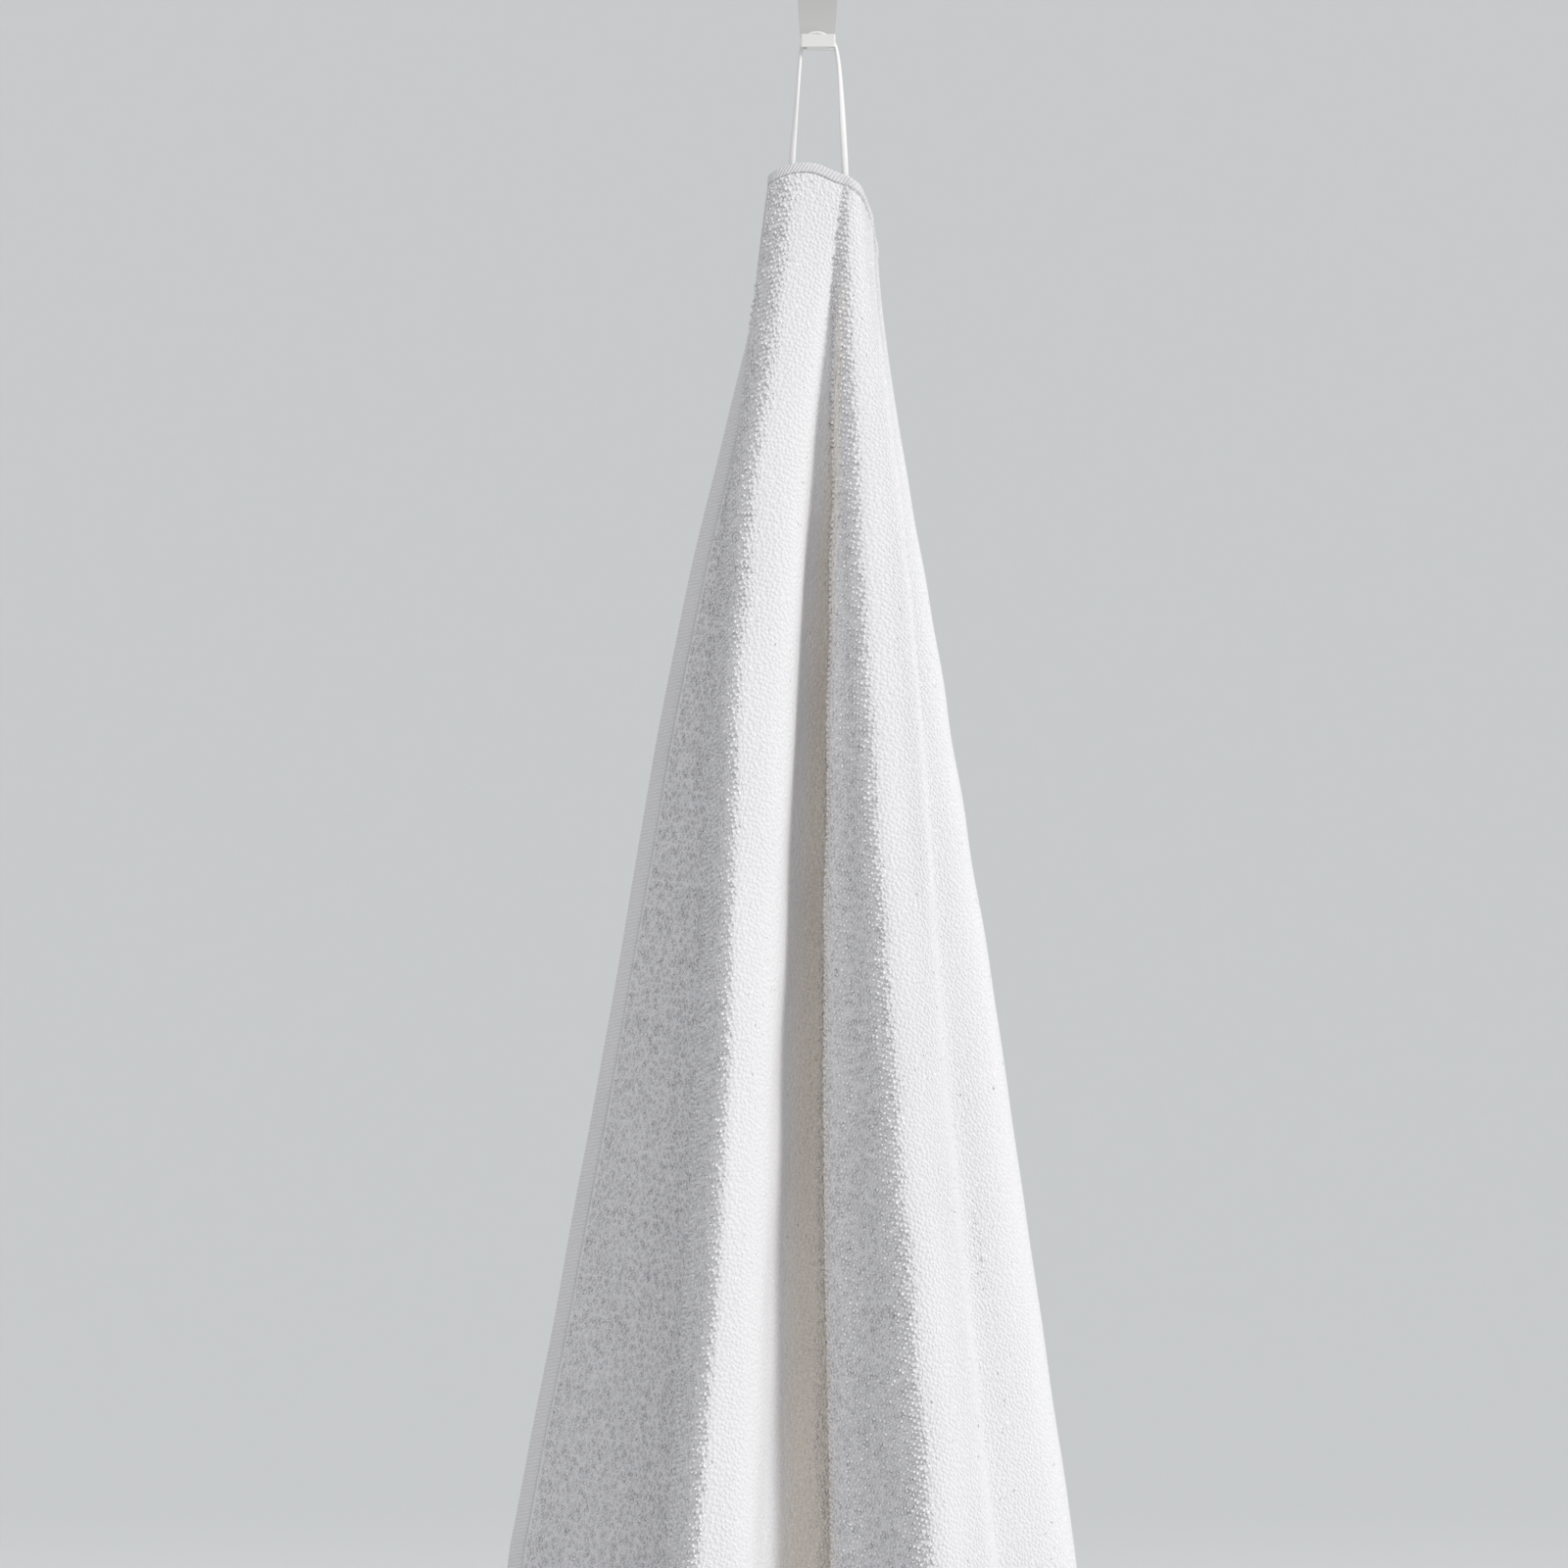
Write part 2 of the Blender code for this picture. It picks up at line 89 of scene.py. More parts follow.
# The hidden back: its pleats, the steps in each, the gap to the wall, the pleats' unevenness, the share at which
# the first one opens, the most that the heading swings, in degrees, and how many swings are worked out
BACK_PLEATS = 6
BACK_FINE_STEPS = 48
BACK_WALL_GAP = 3.2
BACK_UNEVEN = 0.08
BACK_FIRST_HEADING = 0.65
BACK_MOST_SWING = 118.0
BACK_SWINGS = 90

# The flat towel and the top of its hem, the ends of the stretch of hem (from its middle) whose columns hang straight
# down, the share by which folds still spread below the last level, and the levels at which a column is measured
TOWEL_LONG = 1000.0
TOWEL_SHORT = 500.0
HEM_TOP = -67.0
HEM_LEFT_FOOT = -14.0
HEM_RIGHT_FOOT = 50.0
PLUMB_SHARE = 0.5
TRIAL_LEVELS = 81

# Route of the loop's middle in millimetres: across, out and height
CORD_ROUTE = (
    (-9.1, 12.9, -78.0),
    (-8.95, 12.9, -71.0),
    (-8.7, 12.5, -64.5),
    (-7.95, 10.9, -54.0),
    (-7.0, 8.8, -42.0),
    (-6.15, 6.8, -31.0),
    (-5.75, 6.2, -27.4),
    (-5.0, 6.1, -24.8),
    (-3.8, 6.1, -23.1),
    (-2.3, 6.1, -22.2),
    (-0.6, 6.1, -21.9),
    (1.2, 6.1, -22.1),
    (2.9, 6.1, -22.9),
    (4.3, 6.1, -24.0),
    (5.3, 6.1, -25.3),
    (6.0, 6.15, -26.9),
    (6.5, 6.4, -29.2),
    (7.15, 7.2, -34.0),
    (7.8, 8.8, -43.0),
    (8.4, 11.0, -55.0),
    (8.95, 12.5, -66.0),
    (9.2, 12.9, -74.0),
    (9.3, 12.9, -81.0),
)

# The cord's rings and sides, the power that squares its oval, the plait's depth as a share of it and radians in a
# millimetre, and the way round the cord in millimetres
CORD_RINGS = 460
CORD_SIDES = 20
CORD_OVAL = 0.85
PLAIT_DEPTH = 0.09
PLAIT_RATE = 3.6
CORD_ROUND = 5.4

# The towel's grid: how far from the edge its rows and columns lie in the hems, and how many lie between them. Rows
# are closer near the top, and a usual column is a little longer than the short side
REFINE = 6
SEAM_PLACE = 6.2
HEM_PLACES = (0.0, 0.25, 0.6, 1.1, 2.2, 3.4, 4.6, 5.3, 5.8, SEAM_PLACE, 6.6, 7.2)
HEM_END = HEM_PLACES[-1]
TOP_HEM_SCALE = 0.62
COLUMN_STRETCH = 1.08
FIELD_ROWS = 96
FIELD_SPREAD = 1.12
FRONT_COLUMNS = 170
HIDDEN_COLUMNS = 46
BACK_COLUMNS = 150

# The edge's round rim, the folded hem and its sunken seam, in millimetres
RIM_WIDTH = 1.1
HEM_HALF = 1.12
SEAM_DEPTH = 0.45
SEAM_SPREAD = 0.42

# The cloth's gentle swell: wave lengths across and down, height and phase, and the run in which it sets in
SWELLS = (
    (31.0, 140.0, 0.16, 0.4),
    (-47.0, 210.0, 0.16, 2.1),
    (23.0, -90.0, 0.08, 4.0),
    (64.0, 75.0, 0.12, 1.3),
    (-38.0, 58.0, 0.08, 5.2),
)
CALM_RUN = 90.0

# The pile: its pieces and the fold lines between them, how far from the edge it starts and how far above the hem
# its lattice is centred, the fine grid on which its places are found, and how far they are off their cells' middles
PILE_PIECES = ("pile_left_field", "pile_left_pleat", "pile_right_pleat", "pile_right_field")
PILE_BORDERS = ("left shoulder", "valley floor", "right pleat edge")
PILE_START = 7.3
FAN_CENTRE = 244.0
FINE_DOWN = 12
FINE_ACROSS = 6
CELL_REACH = 0.9
NUDGE = 0.2

# A tuft's half length, half width and half crest in millimetres, and how far a brushed one sinks
TUFT_LONG = 0.86
TUFT_SHORT = 0.56
TUFT_CREST = 0.4
BRUSHED_SINK = 0.13

# A stitch's pitch as a share of its length, and its place, lift, depth and thickness in millimetres
STITCH_PITCH = 1.12
STITCH_START = 0.4
STITCH_PROUD = 0.06
STITCH_LIFT = 0.12
STITCH_DEPTH = 0.16
STITCH_THIN = 0.08
STITCH_SWELL = 0.05

# The camera's place in metres, its lens and sensor in millimetres, and the soft light's spread in degrees
CAMERA_PLACE = (-0.0115, -2.0, -0.2764)
CAMERA_LENS = 135.0
SENSOR_WIDTH = 36.0
KEY_SPREAD = 16.0

# The paper's half width and front edge, its rise behind the floor and the radius of its bend, in metres
PAPER_REACH = 9.0
PAPER_RISE = 8.0
PAPER_BEND = 0.3


# Shapes


def spline_weights(knots, places):
    """Matrix that turns values at the knots into a natural cubic spline's values, straight beyond the last knot."""
    knots = np.asarray(knots, float)
    places = np.asarray(places, float)
    count = len(knots)
    gap = np.diff(knots)
    bend = np.zeros((count, count))
    pull = np.zeros((count, count))
    bend[0, 0] = bend[-1, -1] = 1.0
    for i in range(1, count - 1):
        bend[i, i - 1 : i + 2] = gap[i - 1], 2 * (gap[i - 1] + gap[i]), gap[i]
        pull[i, i - 1 : i + 2] = 6 / gap[i - 1], -6 / gap[i - 1] - 6 / gap[i], 6 / gap[i]
    second = np.linalg.solve(bend, pull)
    unit = np.eye(count)
    inside = np.clip(places, knots[0], knots[-1])
    cell = np.clip(np.searchsorted(knots, inside) - 1, 0, count - 2)
    h = gap[cell][:, None]
    a = (knots[cell + 1] - inside)[:, None] / h
    b = 1.0 - a
    curve = a * unit[cell] + b * unit[cell + 1]
    curve = curve + h**2 / 6 * ((a**3 - a) * second[cell] + (b**3 - b) * second[cell + 1])
    end_slope = (unit[-1] - unit[-2]) / gap[-1] + gap[-1] / 6 * (second[-2] + 2 * second[-1])
    return curve + np.outer(np.maximum(places - knots[-1], 0.0), end_slope)


def key_direction():
    """Unit vector towards the soft light on the right."""
    settings = bpy.context.scene.towel_stage
    from_right = math.radians(settings.key_side)
    height = math.radians(settings.key_height)
    level = math.cos(height)
    return level * math.sin(from_right), -level * math.cos(from_right), math.sin(height)


def steps_before(name):
    """Steps of the table from its first fold line to the named one."""
    place = [row.name for row in FOLDS].index(name)
    return sum(row.steps for row in FOLDS[:place])


def front_layout():
    """Matrix from the fold lines to the fine columns of the front, with the knots at chord distances."""
    low = np.array([(row.across[-1], row.out[-1]) for row in FOLDS])
    high = np.array([(row.across[2], row.out[1]) for row in FOLDS])
    reach = np.hypot(*np.diff(low, axis=0).T) + 2.0 * np.hypot(*np.diff(high, axis=0).T)
    knots = np.concatenate([[0.0], np.cumsum(np.sqrt(reach))])
    places = [
        np.linspace(knots[i], knots[i + 1], FOLDS[i].steps * REFINE, endpoint=False)
        for i in range(len(FOLDS) - 1)
    ]
    return spline_weights(knots, np.concatenate(places + [knots[-1:]]))


def meander(swing):
    """Round pleats as shares of their straight span: forward along it, and towards the wall.

    The heading swings to and fro by the angle swing (one per row) as a cosine of the distance along the cloth,
    which a slow sine makes uneven. The first pleat's swing opens from a smaller one.
    """
    fine = np.linspace(0.0, 1.0, BACK_FINE_STEPS * BACK_PLEATS + 1)
    phase = fine + BACK_UNEVEN / (2 * math.pi) * np.sin(2 * math.pi * fine)
    opening = 1.0 - (1.0 - BACK_FIRST_HEADING) * np.exp(-3.0 * BACK_PLEATS * fine)
    heading = swing[:, None] * opening * np.cos(2 * math.pi * (BACK_PLEATS + 0.25) * phase)
    middle = 0.5 * (heading[:, 1:] + heading[:, :-1])
    start = np.zeros((len(swing), 1))
    forward = np.concatenate([start, np.cumsum(np.cos(middle), axis=1)], axis=1)
    wallward = np.concatenate([start, np.cumsum(np.sin(middle), axis=1)], axis=1)
    span = forward[:, -1:]
    return forward / span, wallward / span


class Drape:
    """The sheet's middle as a function of the level below the top of the hem, for every fine column."""

    def __init__(self):
        self.front = front_layout()
        rows = FOLDS + (BACK_END,)
        self.across = np.array([row.across for row in rows]).T
        self.out = np.array([row.out for row in rows]).T
        self.forward, self.wallward = meander(np.radians(np.linspace(0.0, BACK_MOST_SWING, BACK_SWINGS)))
        self.reach = self.wallward.max(axis=1)
        self.columns = len(self.front) + self.forward.shape[1] - 1
        starts = self.front @ [row.drop for row in FOLDS]
        self.start = np.concatenate([starts, np.full(self.forward.shape[1] - 1, BACK_END.drop)])

    def middle(self, level):
        """Across and out, for an array of levels with one column for each fine column.

        Each fold line is a cubic spline of the level. The front is a cubic spline through its fold lines, and the
        back is a meander whose pleats reach from its straight span to the gap at the wall.
        """
        read = np.minimum(level, LEVELS[-1]) + np.maximum(level - LEVELS[-1], 0.0) * PLUMB_SHARE
        shape = level.shape
        in_across = spline_weights(LEVELS, read.ravel()).reshape(*shape, -1)
        in_out = spline_weights(OUT_LEVELS, read.ravel()).reshape(*shape, -1)
        count = len(self.front)
        x = np.einsum("rcl,lc->rc", in_across[:, :count], self.across[:, :-1] @ self.front.T)
        y = np.einsum("rcl,lc->rc", in_out[:, :count], self.out[:, :-1] @ self.front.T)
        first, last = (in_across[:, count:] @ self.across[:, k] for k in (-2, -1))
        out = in_out[:, count:] @ self.out[:, -2]
        span = last - first
        place = np.interp((out - BACK_WALL_GAP) / span, self.reach, np.arange(len(self.reach)))
        low = np.minimum(place.astype(int), len(self.reach) - 2)
        mix = place - low
        column = np.arange(1, self.forward.shape[1])[None, :]
        forward, wallward = (
            table[low, column] * (1 - mix) + table[low + 1, column] * mix
            for table in (self.forward, self.wallward)
        )
        back_x = first + forward * span
        back_y = out - wallward * span
        return np.concatenate([x, back_x], axis=1), np.concatenate([y, back_y], axis=1)

    def lengths(self):
        """Length of each fine column: from the hem to the nearer of the bottom edge and a side edge."""
        x, y = self.middle(np.full((1, self.columns), LEVELS[-1]))
        run = np.concatenate([[0.0], np.cumsum(np.hypot(np.diff(x[0]), np.diff(y[0])))])
        quarter = LEVELS[-1] * math.pi / 2
        straight = HEM_RIGHT_FOOT - HEM_LEFT_FOOT
        along = run / run[-1] * (2 * quarter + straight)
        foot = np.clip(along - quarter, 0.0, straight) + HEM_LEFT_FOOT
        angle = (np.minimum(along, quarter) + np.maximum(along - quarter - straight, 0.0)) / LEVELS[-1]
        away = np.cos(angle)
        side = np.where(away > 0, TOWEL_LONG / 2 + foot, TOWEL_LONG / 2 - foot)
        to_side = side / np.maximum(np.abs(away), 1e-6)
        return np.minimum(to_side, TOWEL_SHORT / np.maximum(np.sin(angle), 1e-6))

    def grid(self, share):
        """Points (across, out, height) and run down the cloth, at these shares of each column's length."""
        length = self.lengths()
        trial = self.start + np.linspace(0.0, 1.0, TRIAL_LEVELS)[:, None] * length
        x, y = self.middle(trial)
        step = np.sqrt(np.diff(x, axis=0) ** 2 + np.diff(y, axis=0) ** 2 + np.diff(trial, axis=0) ** 2)
        run = np.concatenate([np.zeros((1, self.columns)), np.cumsum(step, axis=0)])
        level = np.stack(
            [np.interp(share * length[c], run[:, c], trial[:, c]) for c in range(self.columns)], axis=1
        )
        x, y = self.middle(level)
        return np.stack([x, y, HEM_TOP - level], axis=-1), share[:, None] * length


def row_shares():
    """Places of the rows, as shares of the way down: close together in the top and the bottom hem."""
    usual = TOWEL_SHORT * COLUMN_STRETCH
    top = np.array(HEM_PLACES) * TOP_HEM_SCALE / usual
    foot = 1.0 - np.array(HEM_PLACES)[::-1] / TOWEL_SHORT
    field = np.linspace(0.0, 1.0, FIELD_ROWS + 2)[1:-1] ** FIELD_SPREAD
    return np.concatenate([top, top[-1] + (foot[0] - top[-1]) * field, foot])


def along_columns(values, place):
    """Values read at fractional columns, one set of places for each row."""
    low = np.clip(place.astype(int), 0, values.shape[1] - 2)
    mix = place - low
    row = np.arange(len(values))[:, None]
    if values.ndim == 3:
        mix = mix[..., None]
    return values[row, low] * (1 - mix) + values[row, low + 1] * mix


def arc_along(points):
    """Distance along each row from its first point."""
    step = np.linalg.norm(np.diff(points, axis=1), axis=-1)
    return np.concatenate([np.zeros((len(points), 1)), np.cumsum(step, axis=1)], axis=1)


def normals_of(points):
    """Unit normals of a grid, towards the viewer on the front: down the cloth crossed with across it."""
    across = np.gradient(points, axis=1)
    down = np.gradient(points, axis=0)
    normal = np.cross(down, across)
    return normal / np.maximum(np.linalg.norm(normal, axis=-1, keepdims=True), 1e-9)


def unevenness(a, b):
    """Gentle swell of the hanging cloth, in millimetres: a sum of slanting sine waves."""
    swell = np.zeros_like(a)
    for wave_a, wave_b, size, turn in SWELLS:
        swell += size * np.sin(2 * math.pi * (a / wave_a + b / wave_b) + turn)
    return swell


Cloth = namedtuple("Cloth", "middle normal run arc edge front_columns")


def lay_cloth():
    """The towel's middle surface in world axes and millimetres, on the final grid, with its measures.

    Columns keep a fixed distance from the left and the right edge inside the side hems, and follow the fold lines
    between them.
    """
    drape = Drape()
    share = row_shares()
    points, run = drape.grid(share)
    arc = arc_along(points)
    total = arc[:, -1:]
    hem = np.array(HEM_PLACES)
    fine_front = REFINE * steps_before("right turn")
    fine_hidden = len(drape.front) - 1
    inner = np.concatenate(
        [
            np.linspace(0, fine_front, FRONT_COLUMNS, endpoint=False),
            np.linspace(fine_front, fine_hidden, HIDDEN_COLUMNS, endpoint=False),
            np.linspace(fine_hidden, drape.columns - 1, BACK_COLUMNS + 1),
        ]
    )[1:-1]
    inner_arc = along_columns(arc, np.tile(inner, (len(share), 1)))
    inner_arc = HEM_END + inner_arc * (total - 2 * HEM_END) / total
    wanted = np.concatenate([np.tile(hem, (len(share), 1)), inner_arc, total - hem[::-1]], axis=1)
    numbers = np.arange(drape.columns)
    place = np.stack([np.interp(wanted[r], arc[r], numbers) for r in range(len(share))])
    points = along_columns(points, place)
    run = along_columns(run, place)
    middle = np.stack([points[..., 0], -points[..., 1], points[..., 2]], axis=-1)
    a, b = pile_place(wanted, run)
    calm = np.clip(run / CALM_RUN, 0.0, 1.0) ** 2
    middle = middle + normals_of(middle) * (unevenness(a, b) * calm)[..., None]
    to_foot = (1.0 - share)[:, None] * TOWEL_SHORT
    edge = np.minimum(np.minimum(wanted, total - wanted), np.minimum(run / TOP_HEM_SCALE, to_foot))
    return Cloth(middle, normals_of(middle), run, wanted, edge, len(hem) + FRONT_COLUMNS - 1)


def pile_place(arc, run):
    """Place on the flat cloth, in millimetres: polar about a point above the hem, so that the weave keeps its
    scale and turns with the fan of folds."""
    away = run + FAN_CENTRE
    turn = arc / away
    return away * np.sin(turn), away * np.cos(turn)


def eased_step(low, high, value):
    """0 at low, 1 at high, and a smooth cubic between them."""
    t = np.clip((value - low) / (high - low), 0.0, 1.0)
    return t * t * (3 - 2 * t)


def half_thickness(edge, field):
    """Half of the sheet's thickness from the distance to the edge: a rim that is a quarter of an oval, the folded
    hem, the seam's bell-shaped groove, and the cloth's own thickness beyond it."""
    rim = np.sqrt(np.clip(1.0 - (1.0 - np.clip(edge / RIM_WIDTH, 0.0, 1.0)) ** 2, 0.03, 1.0))
    seam = SEAM_DEPTH * np.exp(-(((edge - SEAM_PLACE) / SEAM_SPREAD) ** 2))
    beyond = eased_step(SEAM_PLACE, HEM_END, edge)
    return HEM_HALF * rim * (1 - beyond) + field * beyond - seam


def surface_mesh(name, points, faces):
    """Smooth mesh from points in metres and faces that all have the same number of corners."""
    mesh = bpy.data.meshes.new(name)
    mesh.vertices.add(len(points))
    mesh.vertices.foreach_set("co", np.asarray(points, np.float32).ravel())
    mesh.loops.add(faces.size)
    mesh.loops.foreach_set("vertex_index", faces.astype(np.int32).ravel())
    mesh.polygons.add(len(faces))
    mesh.polygons.foreach_set("loop_start", np.arange(0, faces.size, faces.shape[1], dtype=np.int32))
    mesh.update(calc_edges=True)
    mesh.validate()
    mesh.shade_smooth()
    return mesh


def add_uv(mesh, name, places):
    """UV map from one pair of numbers for each vertex."""
    corner = np.empty(len(mesh.loops), np.int32)
    mesh.loops.foreach_get("vertex_index", corner)
    layer = mesh.uv_layers.new(name=name)
    layer.data.foreach_set("uv", places[corner].astype(np.float32).ravel())


def grid_quads(rows, columns, first=0):
    """Quads of a grid whose vertices are numbered from first on, row by row."""
    index = first + np.arange(rows * columns).reshape(rows, columns)
    corners = [index[:-1, :-1], index[1:, :-1], index[1:, 1:], index[:-1, 1:]]
    return np.stack(corners, axis=-1).reshape(-1, 4)


def rim_quads(rows, columns):
    """Strip that joins the outer edges of two equal grids, the second one numbered after the first."""
    index = np.arange(rows * columns).reshape(rows, columns)
    ring = np.concatenate([index[:-1, 0], index[-1, :-1], index[:0:-1, -1], index[0, :0:-1]])
    after = np.roll(ring, -1)
    other = rows * columns
    return np.stack([ring, ring + other, after + other, after], axis=-1)


def ring_walls(rings, sides):
    """Numbers of a tube's vertices, ring by ring, and the quads between its rings."""
    index = np.arange(rings * sides).reshape(rings, sides)
    after = np.roll(index, -1, axis=1)
    return index, np.stack([index[:-1], after[:-1], after[1:], index[1:]], axis=-1).reshape(-1, 4)


def show(obj):
    bpy.context.scene.collection.objects.link(obj)
    return obj


def make_piece(name, mesh, material):
    mesh.materials.append(material)
    piece = show(bpy.data.objects.new(name, mesh))
    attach(piece, "root")
    return piece


# Materials


class Value:
    """A shader socket whose Python arithmetic adds Math nodes."""

    def __init__(self, paint, socket):
        self.paint = paint
        self.socket = socket

    def maths(self, operation, *values):
        return self.paint.add("ShaderNodeMath", {"operation": operation}, dict(enumerate(values)))

    def __add__(self, other):
        return self.maths("ADD", self, other)

    def __sub__(self, other):
        return self.maths("SUBTRACT", self, other)

    def __rsub__(self, other):
        return self.maths("SUBTRACT", other, self)

    def __mul__(self, other):
        return self.maths("MULTIPLY", self, other)


class Paint:
    """A material in the making: its node tree and its Principled shader."""

    def __init__(self, name, **constants):
        self.material = bpy.data.materials.new(name)
        self.material.use_nodes = True
        self.tree = self.material.node_tree
        self.shader = self.tree.nodes["Principled BSDF"]
        for key, number in constants.items():
            self.shader.inputs[key.replace("_", " ")].default_value = number

    def add(self, kind, settings, sockets, output=0):
        node = self.tree.nodes.new(kind)
        for key, setting in settings.items():
            setattr(node, key, setting)
        for key, value in sockets.items():
            self.put(node.inputs[key], value)
        return Value(self, node.outputs[output])

    def put(self, socket, value):
        if isinstance(value, Value):
            self.tree.links.new(value.socket, socket)
        else:
            socket.default_value = value

    def feed(self, name, value):
        self.put(self.shader.inputs[name], value)

    def uv(self, name, scale=(1.0, 1.0), turn=0.0):
        place = self.add("ShaderNodeUVMap", {"uv_map": name}, {})
        sockets = {"Vector": place, "Scale": (*scale, 1.0), "Rotation": (0.0, 0.0, turn)}
        return self.add("ShaderNodeMapping", {}, sockets)

    def split(self, vector):
        node = self.tree.nodes.new("ShaderNodeSeparateXYZ")
        self.put(node.inputs[0], vector)
        return [Value(self, out) for out in node.outputs]

    def noise(self, place, scale=1.0, detail=2.0, dimensions="2D"):
        sockets = {"Vector": place, "Scale": scale, "Detail": detail}
        return self.add("ShaderNodeTexNoise", {"noise_dimensions": dimensions}, sockets)

    def cells(self, place, randomness):
        """Distance to the nearest middle of a cell."""
        sockets = {"Vector": place, "Scale": 1.0, "Randomness": randomness}
        return self.add("ShaderNodeTexVoronoi", {"voronoi_dimensions": "2D"}, sockets)

    def between(self, low, high, value):
        """0 below low, 1 above high, and a smooth step between them."""
        sockets = {"Value": value, "From Min": low, "From Max": high}
        return self.add("ShaderNodeMapRange", {"interpolation_type": "SMOOTHSTEP"}, sockets)

    def blend(self, share, first, second):
        """The first colour at share 0 and the second at share 1."""
        sockets = {"Factor": share, 6: first, 7: second}
        return self.add("ShaderNodeMix", {"data_type": "RGBA"}, sockets, output=2)

    def bump(self, height, distance, strength):
        sockets = {"Height": height, "Distance": distance, "Strength": strength}
        return self.add("ShaderNodeBump", {}, sockets)


def opaque(colour, share=1.0):
    """A shader's colour, paler or darker by the share."""
    return (colour[0] * share, colour[1] * share, colour[2] * share, 1.0)


def terry_cloth(settings):
    """White terry: loops on a fine lattice with painted shade between them, a smoother ribbed hem with painted shade
    in its seam's groove, small shades of colour over the cloth, and a streaked floor in the middle fold with painted
    warm bounce light and shade."""
    paint = Paint("terry cloth", Roughness=0.95, Specular_IOR_Level=0.15, Sheen_Weight=0.35, Sheen_Roughness=0.5)
    cell = settings.loop_spacing / MM
    white = settings.cloth_colour
    bounce_cream = settings.valley_bounce_colour
    wander = paint.noise(paint.uv("pile", (0.35, 0.35)))
    lattice = paint.uv("pile", (1 / cell, 1 / (cell * 1.12)))
    loops = paint.cells(lattice, 0.75)
    domes = 1 - paint.between(0.05, 0.62, loops)
    strands = paint.noise(paint.uv("pile", (2.6, 2.2)), detail=1.0)
    edge = paint.split(paint.uv("hem"))[0]
    in_field = paint.between(SEAM_PLACE, HEM_END + 0.2, edge)
    ribs = paint.add(
        "ShaderNodeTexWave",
        {"wave_type": "BANDS", "bands_direction": "Y"},
        {"Vector": paint.uv("hem", (0.3, 0.27), 0.3), "Scale": 1.0, "Distortion": 1.6, "Detail": 2.0},
        output=1,
    )
    patches = paint.between(0.45, 0.7, paint.noise(paint.uv("hem", (0.0, 0.013))))
    pile_height = domes * 0.5 + strands * 0.45
    hem_height = ribs * (patches * 0.3 + 0.35) + strands * 0.35
    height = pile_height * in_field + hem_height * (1 - in_field)
    paint.feed("Normal", paint.bump(height, settings.pile_relief, 0.85))
    # Painted shade between the loops: the cloth is darker towards the edges of each loop's cell
    painted_gap_shade = paint.between(0.35, 0.7, loops) * in_field * 0.5
    base = paint.blend(painted_gap_shade, opaque(white), opaque(white, 0.92))
    base = paint.blend(paint.between(0.35, 0.75, wander) * 0.25, base, opaque(white, 0.96))
    # Painted shade in the seam's groove: the cloth along the seam is darkened, more in some patches than in others
    seam_start = paint.between(SEAM_PLACE - 0.35, SEAM_PLACE - 0.05, edge)
    seam = seam_start - paint.between(SEAM_PLACE + 0.05, SEAM_PLACE + 0.4, edge)
    base = paint.blend(seam * (patches * 0.3 + 0.4), base, opaque(white, 0.5))
    fuzz = ribs * 0.5 + paint.between(0.35, 0.7, strands) * 0.5
    base = paint.blend(fuzz * (1 - in_field), base, opaque(white, 0.8))
    # Painted warm bounce light and shade on the floor of the middle fold: a warmer tint, with darker streaks and
    # darker grain there
    bounce_share = paint.add("ShaderNodeAttribute", {"attribute_name": "valley"}, {}, output=2)
    base = paint.blend(bounce_share, base, opaque(bounce_cream))
    streaks = paint.between(0.38, 0.62, paint.noise(paint.uv("pile", (0.55, 1.7)), detail=3.0))
    base = paint.blend(bounce_share * streaks, base, opaque(bounce_cream, 0.87))
    shaded = paint.blend(bounce_share, opaque(white, 0.9), opaque(bounce_cream, 0.8))
    grain = paint.between(0.4, 0.7, strands) * in_field * 0.55
    paint.feed("Base Color", paint.blend(grain, base, shaded))
    return paint.material


def loop_yarn(settings):
    """The pile's own yarn: the cloth's white, darker or paler from loop to loop, with painted warm bounce light and
    shade in the middle fold.
    """
    paint = Paint("pile yarn", Roughness=0.95, Specular_IOR_Level=0.15, Sheen_Weight=0.3, Sheen_Roughness=0.5)
    shade, bounce_share, _ = paint.split(paint.uv("loop"))
    white = settings.cloth_colour
    base = paint.blend(shade, opaque(white, 0.87), opaque(white, 1.11))
    # Painted warm bounce light and shade on the loops in the middle fold
    paint.feed("Base Color", paint.blend(bounce_share * 0.45, base, opaque(settings.valley_bounce_colour)))
    return paint.material


def woven_cord(settings):
    """Flat cotton cord with fine fibres along it. Its plait is in its shape."""
    paint = Paint("woven cord", Roughness=0.9, Specular_IOR_Level=0.2, Sheen_Weight=0.2)
    white = settings.cord_colour
    fibres = paint.noise(paint.uv("cord", (9.0, 1.4)), detail=3.0)
    paint.feed("Normal", paint.bump(fibres, 0.12 * MM, 0.7))
    paint.feed("Base Color", paint.blend(fibres * 0.5, opaque(white, 0.92), opaque(white)))
    return paint.material


def sewing_thread(settings):
    """Cotton thread, a little darker than the cloth as painted shade of the seam's groove it lies in, with a cloudy
    shade for its twist.
    """
    paint = Paint("sewing thread", Roughness=0.7)
    white = settings.cloth_colour
    twist = paint.noise(paint.uv("thread", (3.0, 3.0)))
    # The thread's darkness is painted shade of the seam's groove
    paint.feed("Base Color", paint.blend(twist, opaque(white, 0.6), opaque(white, 0.8)))
    return paint.material


